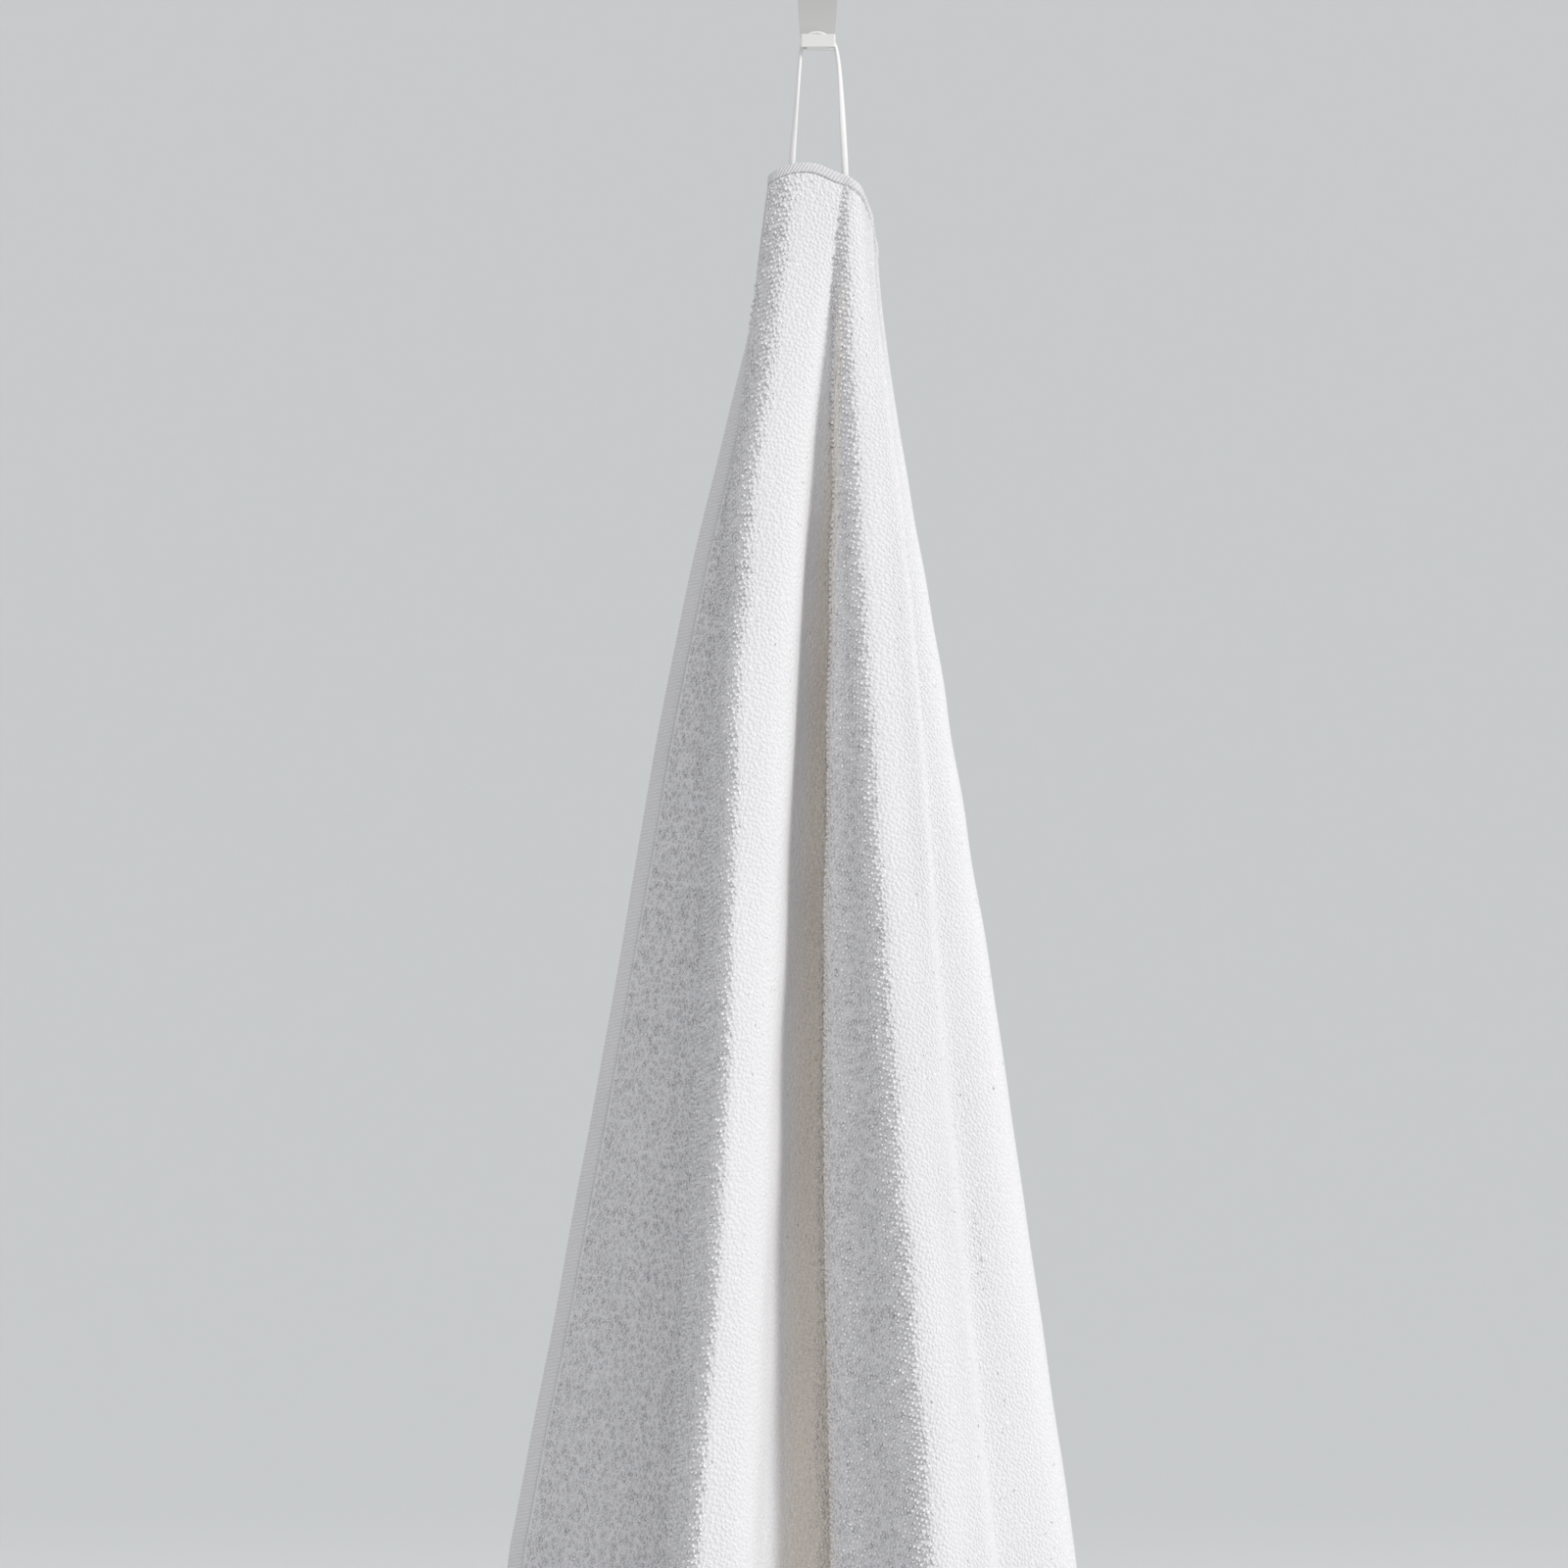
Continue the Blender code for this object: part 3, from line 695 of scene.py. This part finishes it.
def satin_paint(settings):
    """Warm grey satin powder coat with a faint orange peel, with painted light: paler towards the plate's foot, and
    palest on the lip and under the shelf."""
    paint = Paint("satin paint", Roughness=0.42, Metallic=0.0, Coat_Weight=0.15, Coat_Roughness=0.3)
    place = paint.add("ShaderNodeTexCoord", {}, {}, output=3)
    peel = paint.noise(place, 2600.0, detail=1.0, dimensions="3D")
    cloud = paint.noise(place, 140.0, detail=2.0, dimensions="3D")
    paint.feed("Normal", paint.bump(peel, 0.04 * MM, 0.5))
    paint.feed("Roughness", cloud * 0.12 + 0.36)
    grey = settings.hook_colour
    pale = settings.lip_light_colour
    _, inward, height = paint.split(place)
    # Painted light: the plate is paler towards its foot, where light from the shelf falls
    up_plate = paint.between(-24.0 * MM, -4.0 * MM, height)
    base = paint.blend(up_plate, opaque(grey, 1.12), opaque(grey))
    # Painted light: the lip is paler because it catches more light than the plate
    base = paint.blend(paint.between(8.8 * MM, 10.2 * MM, inward * -1.0), base, opaque(pale))
    # Painted light: the underside of the shelf is made palest, to stand for light reaching it from below
    base = paint.blend(paint.between(26.5 * MM, 26.8 * MM, height * -1.0), base, opaque(pale, 1.1))
    paint.feed("Base Color", paint.blend(cloud * 0.12, base, opaque(grey, 0.9)))
    return paint.material


# Settings


def colour_property(name, description, default):
    return bpy.props.FloatVectorProperty(
        name=name, description=description, default=default, subtype="COLOR", size=3, min=0.0, max=1.0
    )


def length_property(name, description, default):
    return bpy.props.FloatProperty(name=name, description=description, default=default, unit="LENGTH")


def plain_property(name, description, default):
    return bpy.props.FloatProperty(name=name, description=description, default=default)


class TowelSettings(bpy.types.PropertyGroup):
    ground_thickness: length_property(
        "Ground thickness", "Thickness of the cloth where real loops stand on it", 1.5 * MM
    )
    full_thickness: length_property("Full thickness", "Thickness of the cloth with its pile", 2.4 * MM)
    loop_spacing: length_property("Loop spacing", "Distance between loops across the cloth", 1.4 * MM)
    row_spacing: length_property("Row spacing", "Distance between rows of loops down it", 1.8 * MM)
    loop_height: length_property("Loop height", "How far a loop stands out of the ground", 0.85 * MM)
    brushing: plain_property("Brushing", "How much lower loops lie where the cloth faces the soft light", 0.9)
    pile_relief: length_property("Pile relief", "Depth of the pile where it is only shaded", 0.5 * MM)
    cloth_colour: colour_property("Cloth colour", "White of the terry cloth", (0.86, 0.855, 0.87))
    # Painted warm bounce light and shade: the tint of the middle fold's floor stands for light bounced and shaded
    # there
    valley_bounce_colour: colour_property("Valley colour", "Painted warm bounce light and shade deep in the middle fold", (0.93, 0.865, 0.79))
    stitch_length: length_property("Stitch length", "Length of a stitch of the hem", 2.6 * MM)


class LoopSettings(bpy.types.PropertyGroup):
    width: length_property("Cord width", "Wider side of the flat cord", 2.2 * MM)
    thickness: length_property("Cord thickness", "Thinner side of the flat cord", 1.4 * MM)
    cord_colour: colour_property("Cord colour", "White of the woven cord", (0.94, 0.94, 0.93))


class HookSettings(bpy.types.PropertyGroup):
    hook_colour: colour_property("Paint colour", "Satin paint of the plate", (0.53, 0.53, 0.52))
    # The lip's paler colour is painted light: the lip catches more light than the plate
    lip_light_colour: colour_property("Lip colour", "Paint of the lip, paler with painted light", (0.86, 0.86, 0.835))


class StageSettings(bpy.types.PropertyGroup):
    floor_height: length_property("Floor height", "Height of the floor, measured up from the hook", -1.3)
    backdrop_distance: length_property("Backdrop distance", "From the hook's back to the backdrop", 3.9)
    stage_colour: colour_property("Stage colour", "Pale paper of the floor and the backdrop", (0.64, 0.655, 0.655))
    key_power: plain_property("Key light", "Strength of the soft light from the right", 1.93)
    key_side: plain_property("Key side", "How far round to the right the soft light stands, in degrees", 60.0)
    key_height: plain_property("Key height", "How high the soft light stands, in degrees", 27.0)
    fill_power: plain_property("Fill light", "Strength of the even light all round", 0.65)


# Operators

# Pieces and measures that a later operator or main needs
made = {}


class TOWEL_OT_stage(bpy.types.Operator):
    """Set up the camera, the floor with its backdrop, and the soft light"""

    bl_idname = "towel.stage"
    bl_label = "Stage"

    def execute(self, context):
        settings = context.scene.towel_stage
        camera = show(bpy.data.objects.new("camera", bpy.data.cameras.new("camera")))
        camera.location = CAMERA_PLACE
        camera.rotation_euler = (math.radians(90), 0.0, 0.0)
        camera.data.lens = CAMERA_LENS
        camera.data.sensor_width = SENSOR_WIDTH
        camera.data.clip_end = 100.0
        context.scene.camera = camera
        self.add_paper(settings)
        self.add_lights(context, settings)
        context.scene.view_settings.view_transform = "Standard"
        return {"FINISHED"}

    def add_paper(self, settings):
        """Floor that sweeps up into a backdrop: a straight run, a quarter circle and a straight rise."""
        turn = np.linspace(0.0, math.pi / 2, 17)
        back = settings.backdrop_distance
        y = np.concatenate([[-PAPER_REACH], back - PAPER_BEND * (1 - np.sin(turn)), [back]])
        z = settings.floor_height + np.concatenate([[0.0], PAPER_BEND * (1 - np.cos(turn)), [PAPER_RISE]])
        x = np.linspace(-PAPER_REACH, PAPER_REACH, 3)
        points = np.stack([np.tile(x, len(y)), np.repeat(y, 3), np.repeat(z, 3)], axis=-1)
        mesh = surface_mesh("paper", points, grid_quads(len(y), 3)[:, ::-1])
        paint = Paint("pale paper", Roughness=0.9, Specular_IOR_Level=0.1)
        paint.feed("Base Color", opaque(settings.stage_colour))
        mesh.materials.append(paint.material)
        show(bpy.data.objects.new("paper", mesh))

    def add_lights(self, context, settings):
        sun = show(bpy.data.objects.new("key", bpy.data.lights.new("key", "SUN")))
        sun.data.energy = settings.key_power
        sun.data.angle = math.radians(KEY_SPREAD)
        sun.data.color = (1.0, 0.995, 0.985)
        sun.rotation_euler = (math.radians(90 - settings.key_height), 0.0, math.radians(settings.key_side))
        world = bpy.data.worlds.new("even light")
        world.use_nodes = True
        even = world.node_tree.nodes["Background"].inputs
        even["Color"].default_value = (0.985, 0.985, 1.0, 1.0)
        even["Strength"].default_value = settings.fill_power
        context.scene.world = world


class TOWEL_OT_hanging_loop(bpy.types.Operator):
    """Make the woven cord that the towel hangs by"""

    bl_idname = "towel.hanging_loop"
    bl_label = "Hanging loop"

    def execute(self, context):
        settings = context.scene.towel_loop
        path = self.route(CORD_RINGS)
        points, places = self.tube(path, settings.width / MM / 2, settings.thickness / MM / 2)
        ends = points[[0, -1]].mean(axis=1)
        mesh_points = np.concatenate([points.reshape(-1, 3), ends]) * MM
        mesh = surface_mesh("woven_loop", mesh_points, self.tube_quads(*points.shape[:2]))
        add_uv(mesh, "cord", np.concatenate([places.reshape(-1, 2), np.zeros((2, 2))]))
        piece = make_piece("woven_loop", mesh, woven_cord(settings))
        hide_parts("hanging_loop")
        return {"FINISHED"}

    def route(self, count):
        """Even points on the smooth curve (Catmull-Rom) through the route's points, in world axes."""
        route = np.array(CORD_ROUTE) * (1.0, -1.0, 1.0)
        ends = np.vstack([2 * route[0] - route[1], route, 2 * route[-1] - route[-2]])
        t = np.linspace(0.0, 1.0, 40, endpoint=False)[:, None]
        curve = [
            0.5 * (2 * b + (c - a) * t + (2 * a - 5 * b + 4 * c - d) * t**2 + (3 * b - a - 3 * c + d) * t**3)
            for a, b, c, d in zip(ends, ends[1:], ends[2:], ends[3:])
        ]
        curve = np.vstack(curve + [route[-1:]])
        run = arc_along(curve[None])[0]
        even = np.linspace(0.0, run[-1], count)
        return np.stack([np.interp(even, run, curve[:, i]) for i in range(3)], axis=1)

    def tube(self, path, half_width, half_thick):
        """Flat oval carried along the path: it shows its flat at the left leg's foot, turns its edge to the room up
        that leg and its flat again down the right one. Slanting ridges run round it as in a plait."""
        tangent = np.gradient(path, axis=0)
        tangent /= np.linalg.norm(tangent, axis=1, keepdims=True)
        share = np.linspace(0.0, 1.0, len(path))
        run = arc_along(path[None])[0]
        flat_on = 0.8 * eased_step(0.36, 0.08, share) + eased_step(0.42, 1.0, share)
        turn = math.pi / 2 * (1 - flat_on) + 0.1 * np.sin(run / 9.0)
        room = np.array([0.0, -1.0, 0.0])
        side = np.cross(tangent, room)
        side /= np.linalg.norm(side, axis=1, keepdims=True)
        front = np.cross(side, tangent)
        wide = side * np.cos(turn)[:, None] + front * np.sin(turn)[:, None]
        thin = np.cross(tangent, wide)
        round_it = np.linspace(0.0, 2 * math.pi, CORD_SIDES, endpoint=False)
        along = run[:, None] * PLAIT_RATE
        ridge = 1.0 + PLAIT_DEPTH * np.cos(2 * round_it - along) * np.cos(2 * round_it + along)
        across, deep = (
            half * np.sign(wave) * np.abs(wave) ** CORD_OVAL * ridge
            for half, wave in ((half_width, np.cos(round_it)), (half_thick, np.sin(round_it)))
        )
        points = path[:, None] + across[..., None] * wide[:, None] + deep[..., None] * thin[:, None]
        around = np.tile(round_it / (2 * math.pi) * CORD_ROUND, (len(path), 1))
        return points, np.stack([around, np.tile(run[:, None], (1, CORD_SIDES))], axis=-1)

    def tube_quads(self, rows, sides):
        """Walls of the tube, and flat ends whose quads share one middle point."""
        index, walls = ring_walls(rows, sides)
        even, odd = index[:, ::2], index[:, 1::2]
        after = np.roll(even, -1, axis=1)
        first = np.full(sides // 2, rows * sides)
        start = np.stack([even[0], first, after[0], odd[0]], axis=-1)
        end = np.stack([even[-1], odd[-1], after[-1], first + 1], axis=-1)
        return np.concatenate([walls, start, end])


class TOWEL_OT_cloth(bpy.types.Operator):
    """Make the towel's sheet with its folds and its four hems"""

    bl_idname = "towel.cloth"
    bl_label = "Cloth"

    def execute(self, context):
        settings = context.scene.towel_cloth
        cloth = lay_cloth()
        made["laid"] = cloth
        rows, columns = cloth.edge.shape
        full = settings.full_thickness / MM / 2
        ground = settings.ground_thickness / MM / 2
        column = np.arange(columns)[None, :]
        piled = eased_step(cloth.front_columns + 4.0, cloth.front_columns - 2.0, column)
        front = half_thickness(cloth.edge, ground * piled + full * (1 - piled))
        back = half_thickness(cloth.edge, full)
        made["ground"] = front
        above = cloth.middle + cloth.normal * front[..., None]
        below = cloth.middle - cloth.normal * back[..., None]
        points = np.stack([above, below]).reshape(-1, 3) * MM
        other = grid_quads(rows, columns, rows * columns)
        inside_out = np.concatenate([other, rim_quads(rows, columns)])
        quads = np.concatenate([grid_quads(rows, columns), inside_out[:, ::-1]])
        mesh = surface_mesh("terry_towel", points, quads)
        a, b = pile_place(cloth.arc, cloth.run)
        beside = np.minimum(cloth.arc, cloth.arc[:, -1:] - cloth.arc) <= cloth.edge + 0.01
        along = np.where(beside, cloth.run, cloth.arc)
        add_uv(mesh, "pile", self.on_both_sides(a, b))
        add_uv(mesh, "hem", self.on_both_sides(cloth.edge, along))
        valley = mesh.attributes.new("valley", "FLOAT", "POINT")
        valley.data.foreach_set("value", np.tile(valley_share(cloth).ravel(), 2).astype(np.float32))
        piece = make_piece("terry_towel", mesh, terry_cloth(settings))
        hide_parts("towel")
        made["towel"] = piece
        return {"FINISHED"}

    def on_both_sides(self, first, second):
        """Pairs of numbers for the front's and then the back's vertices."""
        return np.tile(np.stack([first, second], axis=-1).reshape(-1, 2), (2, 1))


def table_steps(column):
    """Place of a column in the fold table, in steps from its first fold line."""
    return (column - len(HEM_PLACES) + 1) / FRONT_COLUMNS * steps_before("right turn")


def valley_share(cloth):
    """How far each point lies on the floor of the middle fold, from 0 to 1, by its column between the pleats."""
    first = steps_before("valley wall")
    last = steps_before("right pleat brink")
    column = table_steps(np.arange(cloth.edge.shape[1]))
    inside = eased_step(first - 0.1, first + 1.5, column) * eased_step(last, last - 1.2, column)
    return inside[None, :] * np.clip(cloth.run / 100.0 - 0.2, 0.0, 1.0)


class TOWEL_OT_pile(bpy.types.Operator):
    """Stand the terry's loops on the front of the cloth"""

    bl_idname = "towel.pile"
    bl_label = "Pile"

    def execute(self, context):
        settings = context.scene.towel_cloth
        yarn = loop_yarn(settings)
        sites = self.sites(settings)
        pieces = []
        for number, name in enumerate(PILE_PIECES):
            mine = {key: values[sites["zone"] == number] for key, values in sites.items()}
            mesh = self.loops(name, mine, settings)
            pieces.append(make_piece(name, mesh, yarn))
        made["pile"] = pieces
        return {"FINISHED"}

    def sites(self, settings):
        """Where the loops stand: in every cell of a brick lattice laid on the flat cloth.

        The cloth's front is read at fine even shares of its grid's cells. In each cell of the lattice the reading
        nearest to the cell's middle, moved a little by chance, carries the loop.
        """
        cloth = made["laid"]
        count = cloth.front_columns + 3
        top = cloth.middle + cloth.normal * made["ground"][..., None]
        a, b = pile_place(cloth.arc, cloth.run)
        measures = np.stack([a, b, cloth.edge, valley_share(cloth)], axis=-1)
        fields = np.concatenate([top, cloth.normal, measures], axis=-1)[:, :count]
        fine = self.refined(fields)
        step = table_steps(np.linspace(0.0, count - 1.0, fine.shape[1]))
        lowness = np.gradient(fine[..., :3], axis=0)
        flat = fine.reshape(-1, fine.shape[-1])
        a, b, edge, warm = flat[:, 6:].T
        across_step = settings.loop_spacing / MM
        down_step = settings.row_spacing / MM
        row = np.floor(b / down_step).astype(int)
        shift = 0.5 * (row % 2)
        column = np.floor(a / across_step + shift).astype(int)
        chance = np.random.default_rng(7)
        nudge = chance.uniform(-NUDGE, NUDGE, (1 << 16, 2))
        pick = (row * 7919 + column * 104729) % len(nudge)
        off_across = a / across_step + shift - column - 0.5 - nudge[pick, 0]
        off_down = b / down_step - row - 0.5 - nudge[pick, 1]
        away = np.hypot(off_across * across_step, off_down * down_step)
        order = np.argsort(away, kind="stable")
        order = order[(edge[order] > PILE_START) & (away[order] < CELL_REACH)]
        key = row.astype(np.int64) * 100000 + column
        chosen = order[np.unique(key[order], return_index=True)[1]]
        zone = np.searchsorted([steps_before(name) for name in PILE_BORDERS], step)
        return {
            "place": flat[chosen, :3],
            "normal": flat[chosen, 3:6],
            "down": lowness.reshape(-1, 3)[chosen],
            "zone": zone[chosen % fine.shape[1]],
            "warm": warm[chosen],
        }

    def refined(self, values):
        """Values between a grid's points, at even shares of its cells."""
        for axis, times in ((0, FINE_DOWN), (1, FINE_ACROSS)):
            size = values.shape[axis]
            at = np.linspace(0.0, size - 1.0, (size - 1) * times + 1)
            low = np.minimum(at.astype(int), size - 2)
            mix = np.expand_dims(at - low, (1, 2) if axis == 0 else (0, 2))
            values = np.take(values, low, axis) * (1 - mix) + np.take(values, low + 1, axis) * mix
        return values

    def loops(self, name, sites, settings):
        """One small six-cornered tuft for each loop: an oval base and a short crest that leans by chance.

        Loops stand up along the ridges and in the valleys. Where the cloth faces the soft light they are brushed
        flat and lie a little deeper.
        """
        chance = np.random.default_rng(len(name))
        count = len(sites["place"])
        normal = sites["normal"] / np.linalg.norm(sites["normal"], axis=1, keepdims=True)
        down = sites["down"] - normal * (sites["down"] * normal).sum(axis=1, keepdims=True)
        down /= np.linalg.norm(down, axis=1, keepdims=True)
        across = np.cross(normal, down)
        turn = chance.normal(0.12, 0.4, count)[:, None]
        long_way = down * np.cos(turn) + across * np.sin(turn)
        short_way = across * np.cos(turn) - down * np.sin(turn)
        size = chance.uniform(0.78, 1.15, (count, 1))
        lean = chance.normal(0.0, 0.22, (count, 2))
        facing = (normal * np.array(key_direction())).sum(axis=1, keepdims=True)
        brushed = eased_step(0.4, 0.65, facing)
        spot = sites["place"] + normal * (chance.uniform(-0.12, 0.08, (count, 1)) - BRUSHED_SINK * brushed)
        high = settings.loop_height / MM * size * (1.0 - settings.brushing * brushed)
        crest = spot + normal * high + across * lean[:, :1] + down * lean[:, 1:]
        end = long_way * TUFT_LONG * size
        side = short_way * TUFT_SHORT * size
        tip = long_way * TUFT_CREST * size
        corners = [spot + end, spot + side, spot - end, spot - side, crest + tip, crest - tip]
        points = np.stack(corners, axis=1).reshape(-1, 3) * MM
        walls = [(0, 1, 4), (1, 5, 4), (1, 2, 5), (2, 3, 5), (3, 4, 5), (3, 0, 4)]
        faces = np.array([*walls, (1, 0, 3), (1, 3, 2)])
        if (np.cross(long_way[:1], short_way[:1]) * normal[:1]).sum() < 0:
            faces = faces[:, ::-1]
        triangles = (np.arange(count)[:, None, None] * 6 + faces[None]).reshape(-1, 3)
        mesh = surface_mesh(name, points, triangles)
        shade = np.repeat(chance.uniform(0.0, 1.0, count), 6)
        add_uv(mesh, "loop", np.stack([shade, np.repeat(sites["warm"], 6)], axis=-1))
        return mesh


class TOWEL_OT_hem_stitches(bpy.types.Operator):
    """Sew the hems with a line of short stitches"""

    bl_idname = "towel.hem_stitches"
    bl_label = "Hem stitches"

    def execute(self, context):
        settings = context.scene.towel_cloth
        cloth = made["laid"]
        seam = HEM_PLACES.index(SEAM_PLACE)
        top = cloth.middle + cloth.normal * (made["ground"][..., None] + STITCH_PROUD)
        lines = [
            (top[seam:-seam, seam], cloth.normal[seam:-seam, seam]),
            (top[-1 - seam, seam:-seam], cloth.normal[-1 - seam, seam:-seam]),
            (top[-seam:seam:-1, -1 - seam], cloth.normal[-seam:seam:-1, -1 - seam]),
            (top[seam, -seam:seam:-1], cloth.normal[seam, -seam:seam:-1]),
        ]
        length = settings.stitch_length / MM
        points = np.concatenate([self.stitches(line, normal, length) for line, normal in lines])
        count, rings, sides = points.shape[:3]
        index, walls = ring_walls(rings, sides)
        one = np.concatenate([walls, [index[0, ::-1], index[-1]]])
        quads = (np.arange(count)[:, None, None] * rings * sides + one[None]).reshape(-1, 4)
        mesh = surface_mesh("hem_stitches", points.reshape(-1, 3) * MM, quads)
        places = np.stack([index.ravel() % sides, index.ravel() // sides], axis=-1)
        add_uv(mesh, "thread", np.tile(places, (count, 1)))
        made["stitches"] = make_piece("hem_stitches", mesh, sewing_thread(settings))
        return {"FINISHED"}

    def stitches(self, line, normal, length):
        """Short four-sided threads along a line, thin at both ends, where they dip into the cloth."""
        run = arc_along(line[None])[0]
        starts = np.arange(STITCH_START, run[-1] - length, length * STITCH_PITCH)
        share = np.linspace(0.0, 1.0, 5)
        at = starts[:, None] + share[None, :] * length
        path, up = (
            np.stack([np.interp(at, run, values[:, i]) for i in range(3)], axis=-1) for values in (line, normal)
        )
        up /= np.linalg.norm(up, axis=-1, keepdims=True)
        arch = np.sin(math.pi * share)[None, :, None]
        path = path + up * (STITCH_LIFT * arch - STITCH_DEPTH)
        tangent = np.gradient(path, axis=1)
        side = np.cross(tangent, up)
        side /= np.linalg.norm(side, axis=-1, keepdims=True)
        thick = STITCH_THIN + STITCH_SWELL * arch
        corners = [path + side * thick, path + up * thick, path - side * thick, path - up * thick]
        return np.stack(corners, axis=2)


class TOWEL_OT_hook(bpy.types.Operator):
    """Paint the wall hook"""

    bl_idname = "towel.hook"
    bl_label = "Hook"

    def execute(self, context):
        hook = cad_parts["hook"]
        hook.data.materials.clear()
        hook.data.materials.append(satin_paint(context.scene.towel_hook))
        return {"FINISHED"}


class TOWEL_PT_sidebar(bpy.types.Panel):
    """Buttons and sizes of the hand towel on a hook"""

    bl_idname = "TOWEL_PT_sidebar"
    bl_label = "Hand towel on a hook"
    bl_space_type = "VIEW_3D"
    bl_region_type = "UI"
    bl_category = "Towel"

    def draw(self, context):
        for group in ("towel_stage", "towel_loop", "towel_cloth", "towel_hook"):
            settings = getattr(context.scene, group)
            box = self.layout.box()
            for name in settings.__annotations__:
                box.prop(settings, name)
        for operator in OPERATORS:
            self.layout.operator(operator.bl_idname)


OPERATORS = (
    TOWEL_OT_stage,
    TOWEL_OT_hanging_loop,
    TOWEL_OT_cloth,
    TOWEL_OT_pile,
    TOWEL_OT_hem_stitches,
    TOWEL_OT_hook,
)
GROUPS = {
    "towel_cloth": TowelSettings,
    "towel_loop": LoopSettings,
    "towel_hook": HookSettings,
    "towel_stage": StageSettings,
}


def register():
    for group in GROUPS.values():
        bpy.utils.register_class(group)
    for operator in OPERATORS:
        bpy.utils.register_class(operator)
    bpy.utils.register_class(TOWEL_PT_sidebar)
    for name, group in GROUPS.items():
        setattr(bpy.types.Scene, name, bpy.props.PointerProperty(type=group))


def unregister():
    for name in GROUPS:
        delattr(bpy.types.Scene, name)
    bpy.utils.unregister_class(TOWEL_PT_sidebar)
    for operator in reversed(OPERATORS):
        bpy.utils.unregister_class(operator)
    for group in GROUPS.values():
        bpy.utils.unregister_class(group)


def main():
    register()
    bpy.ops.towel.stage()
    bpy.ops.towel.hanging_loop()
    bpy.ops.towel.cloth()
    bpy.ops.towel.pile()
    bpy.ops.towel.hem_stitches()
    bpy.ops.towel.hook()


if __name__ == "__main__":
    main()
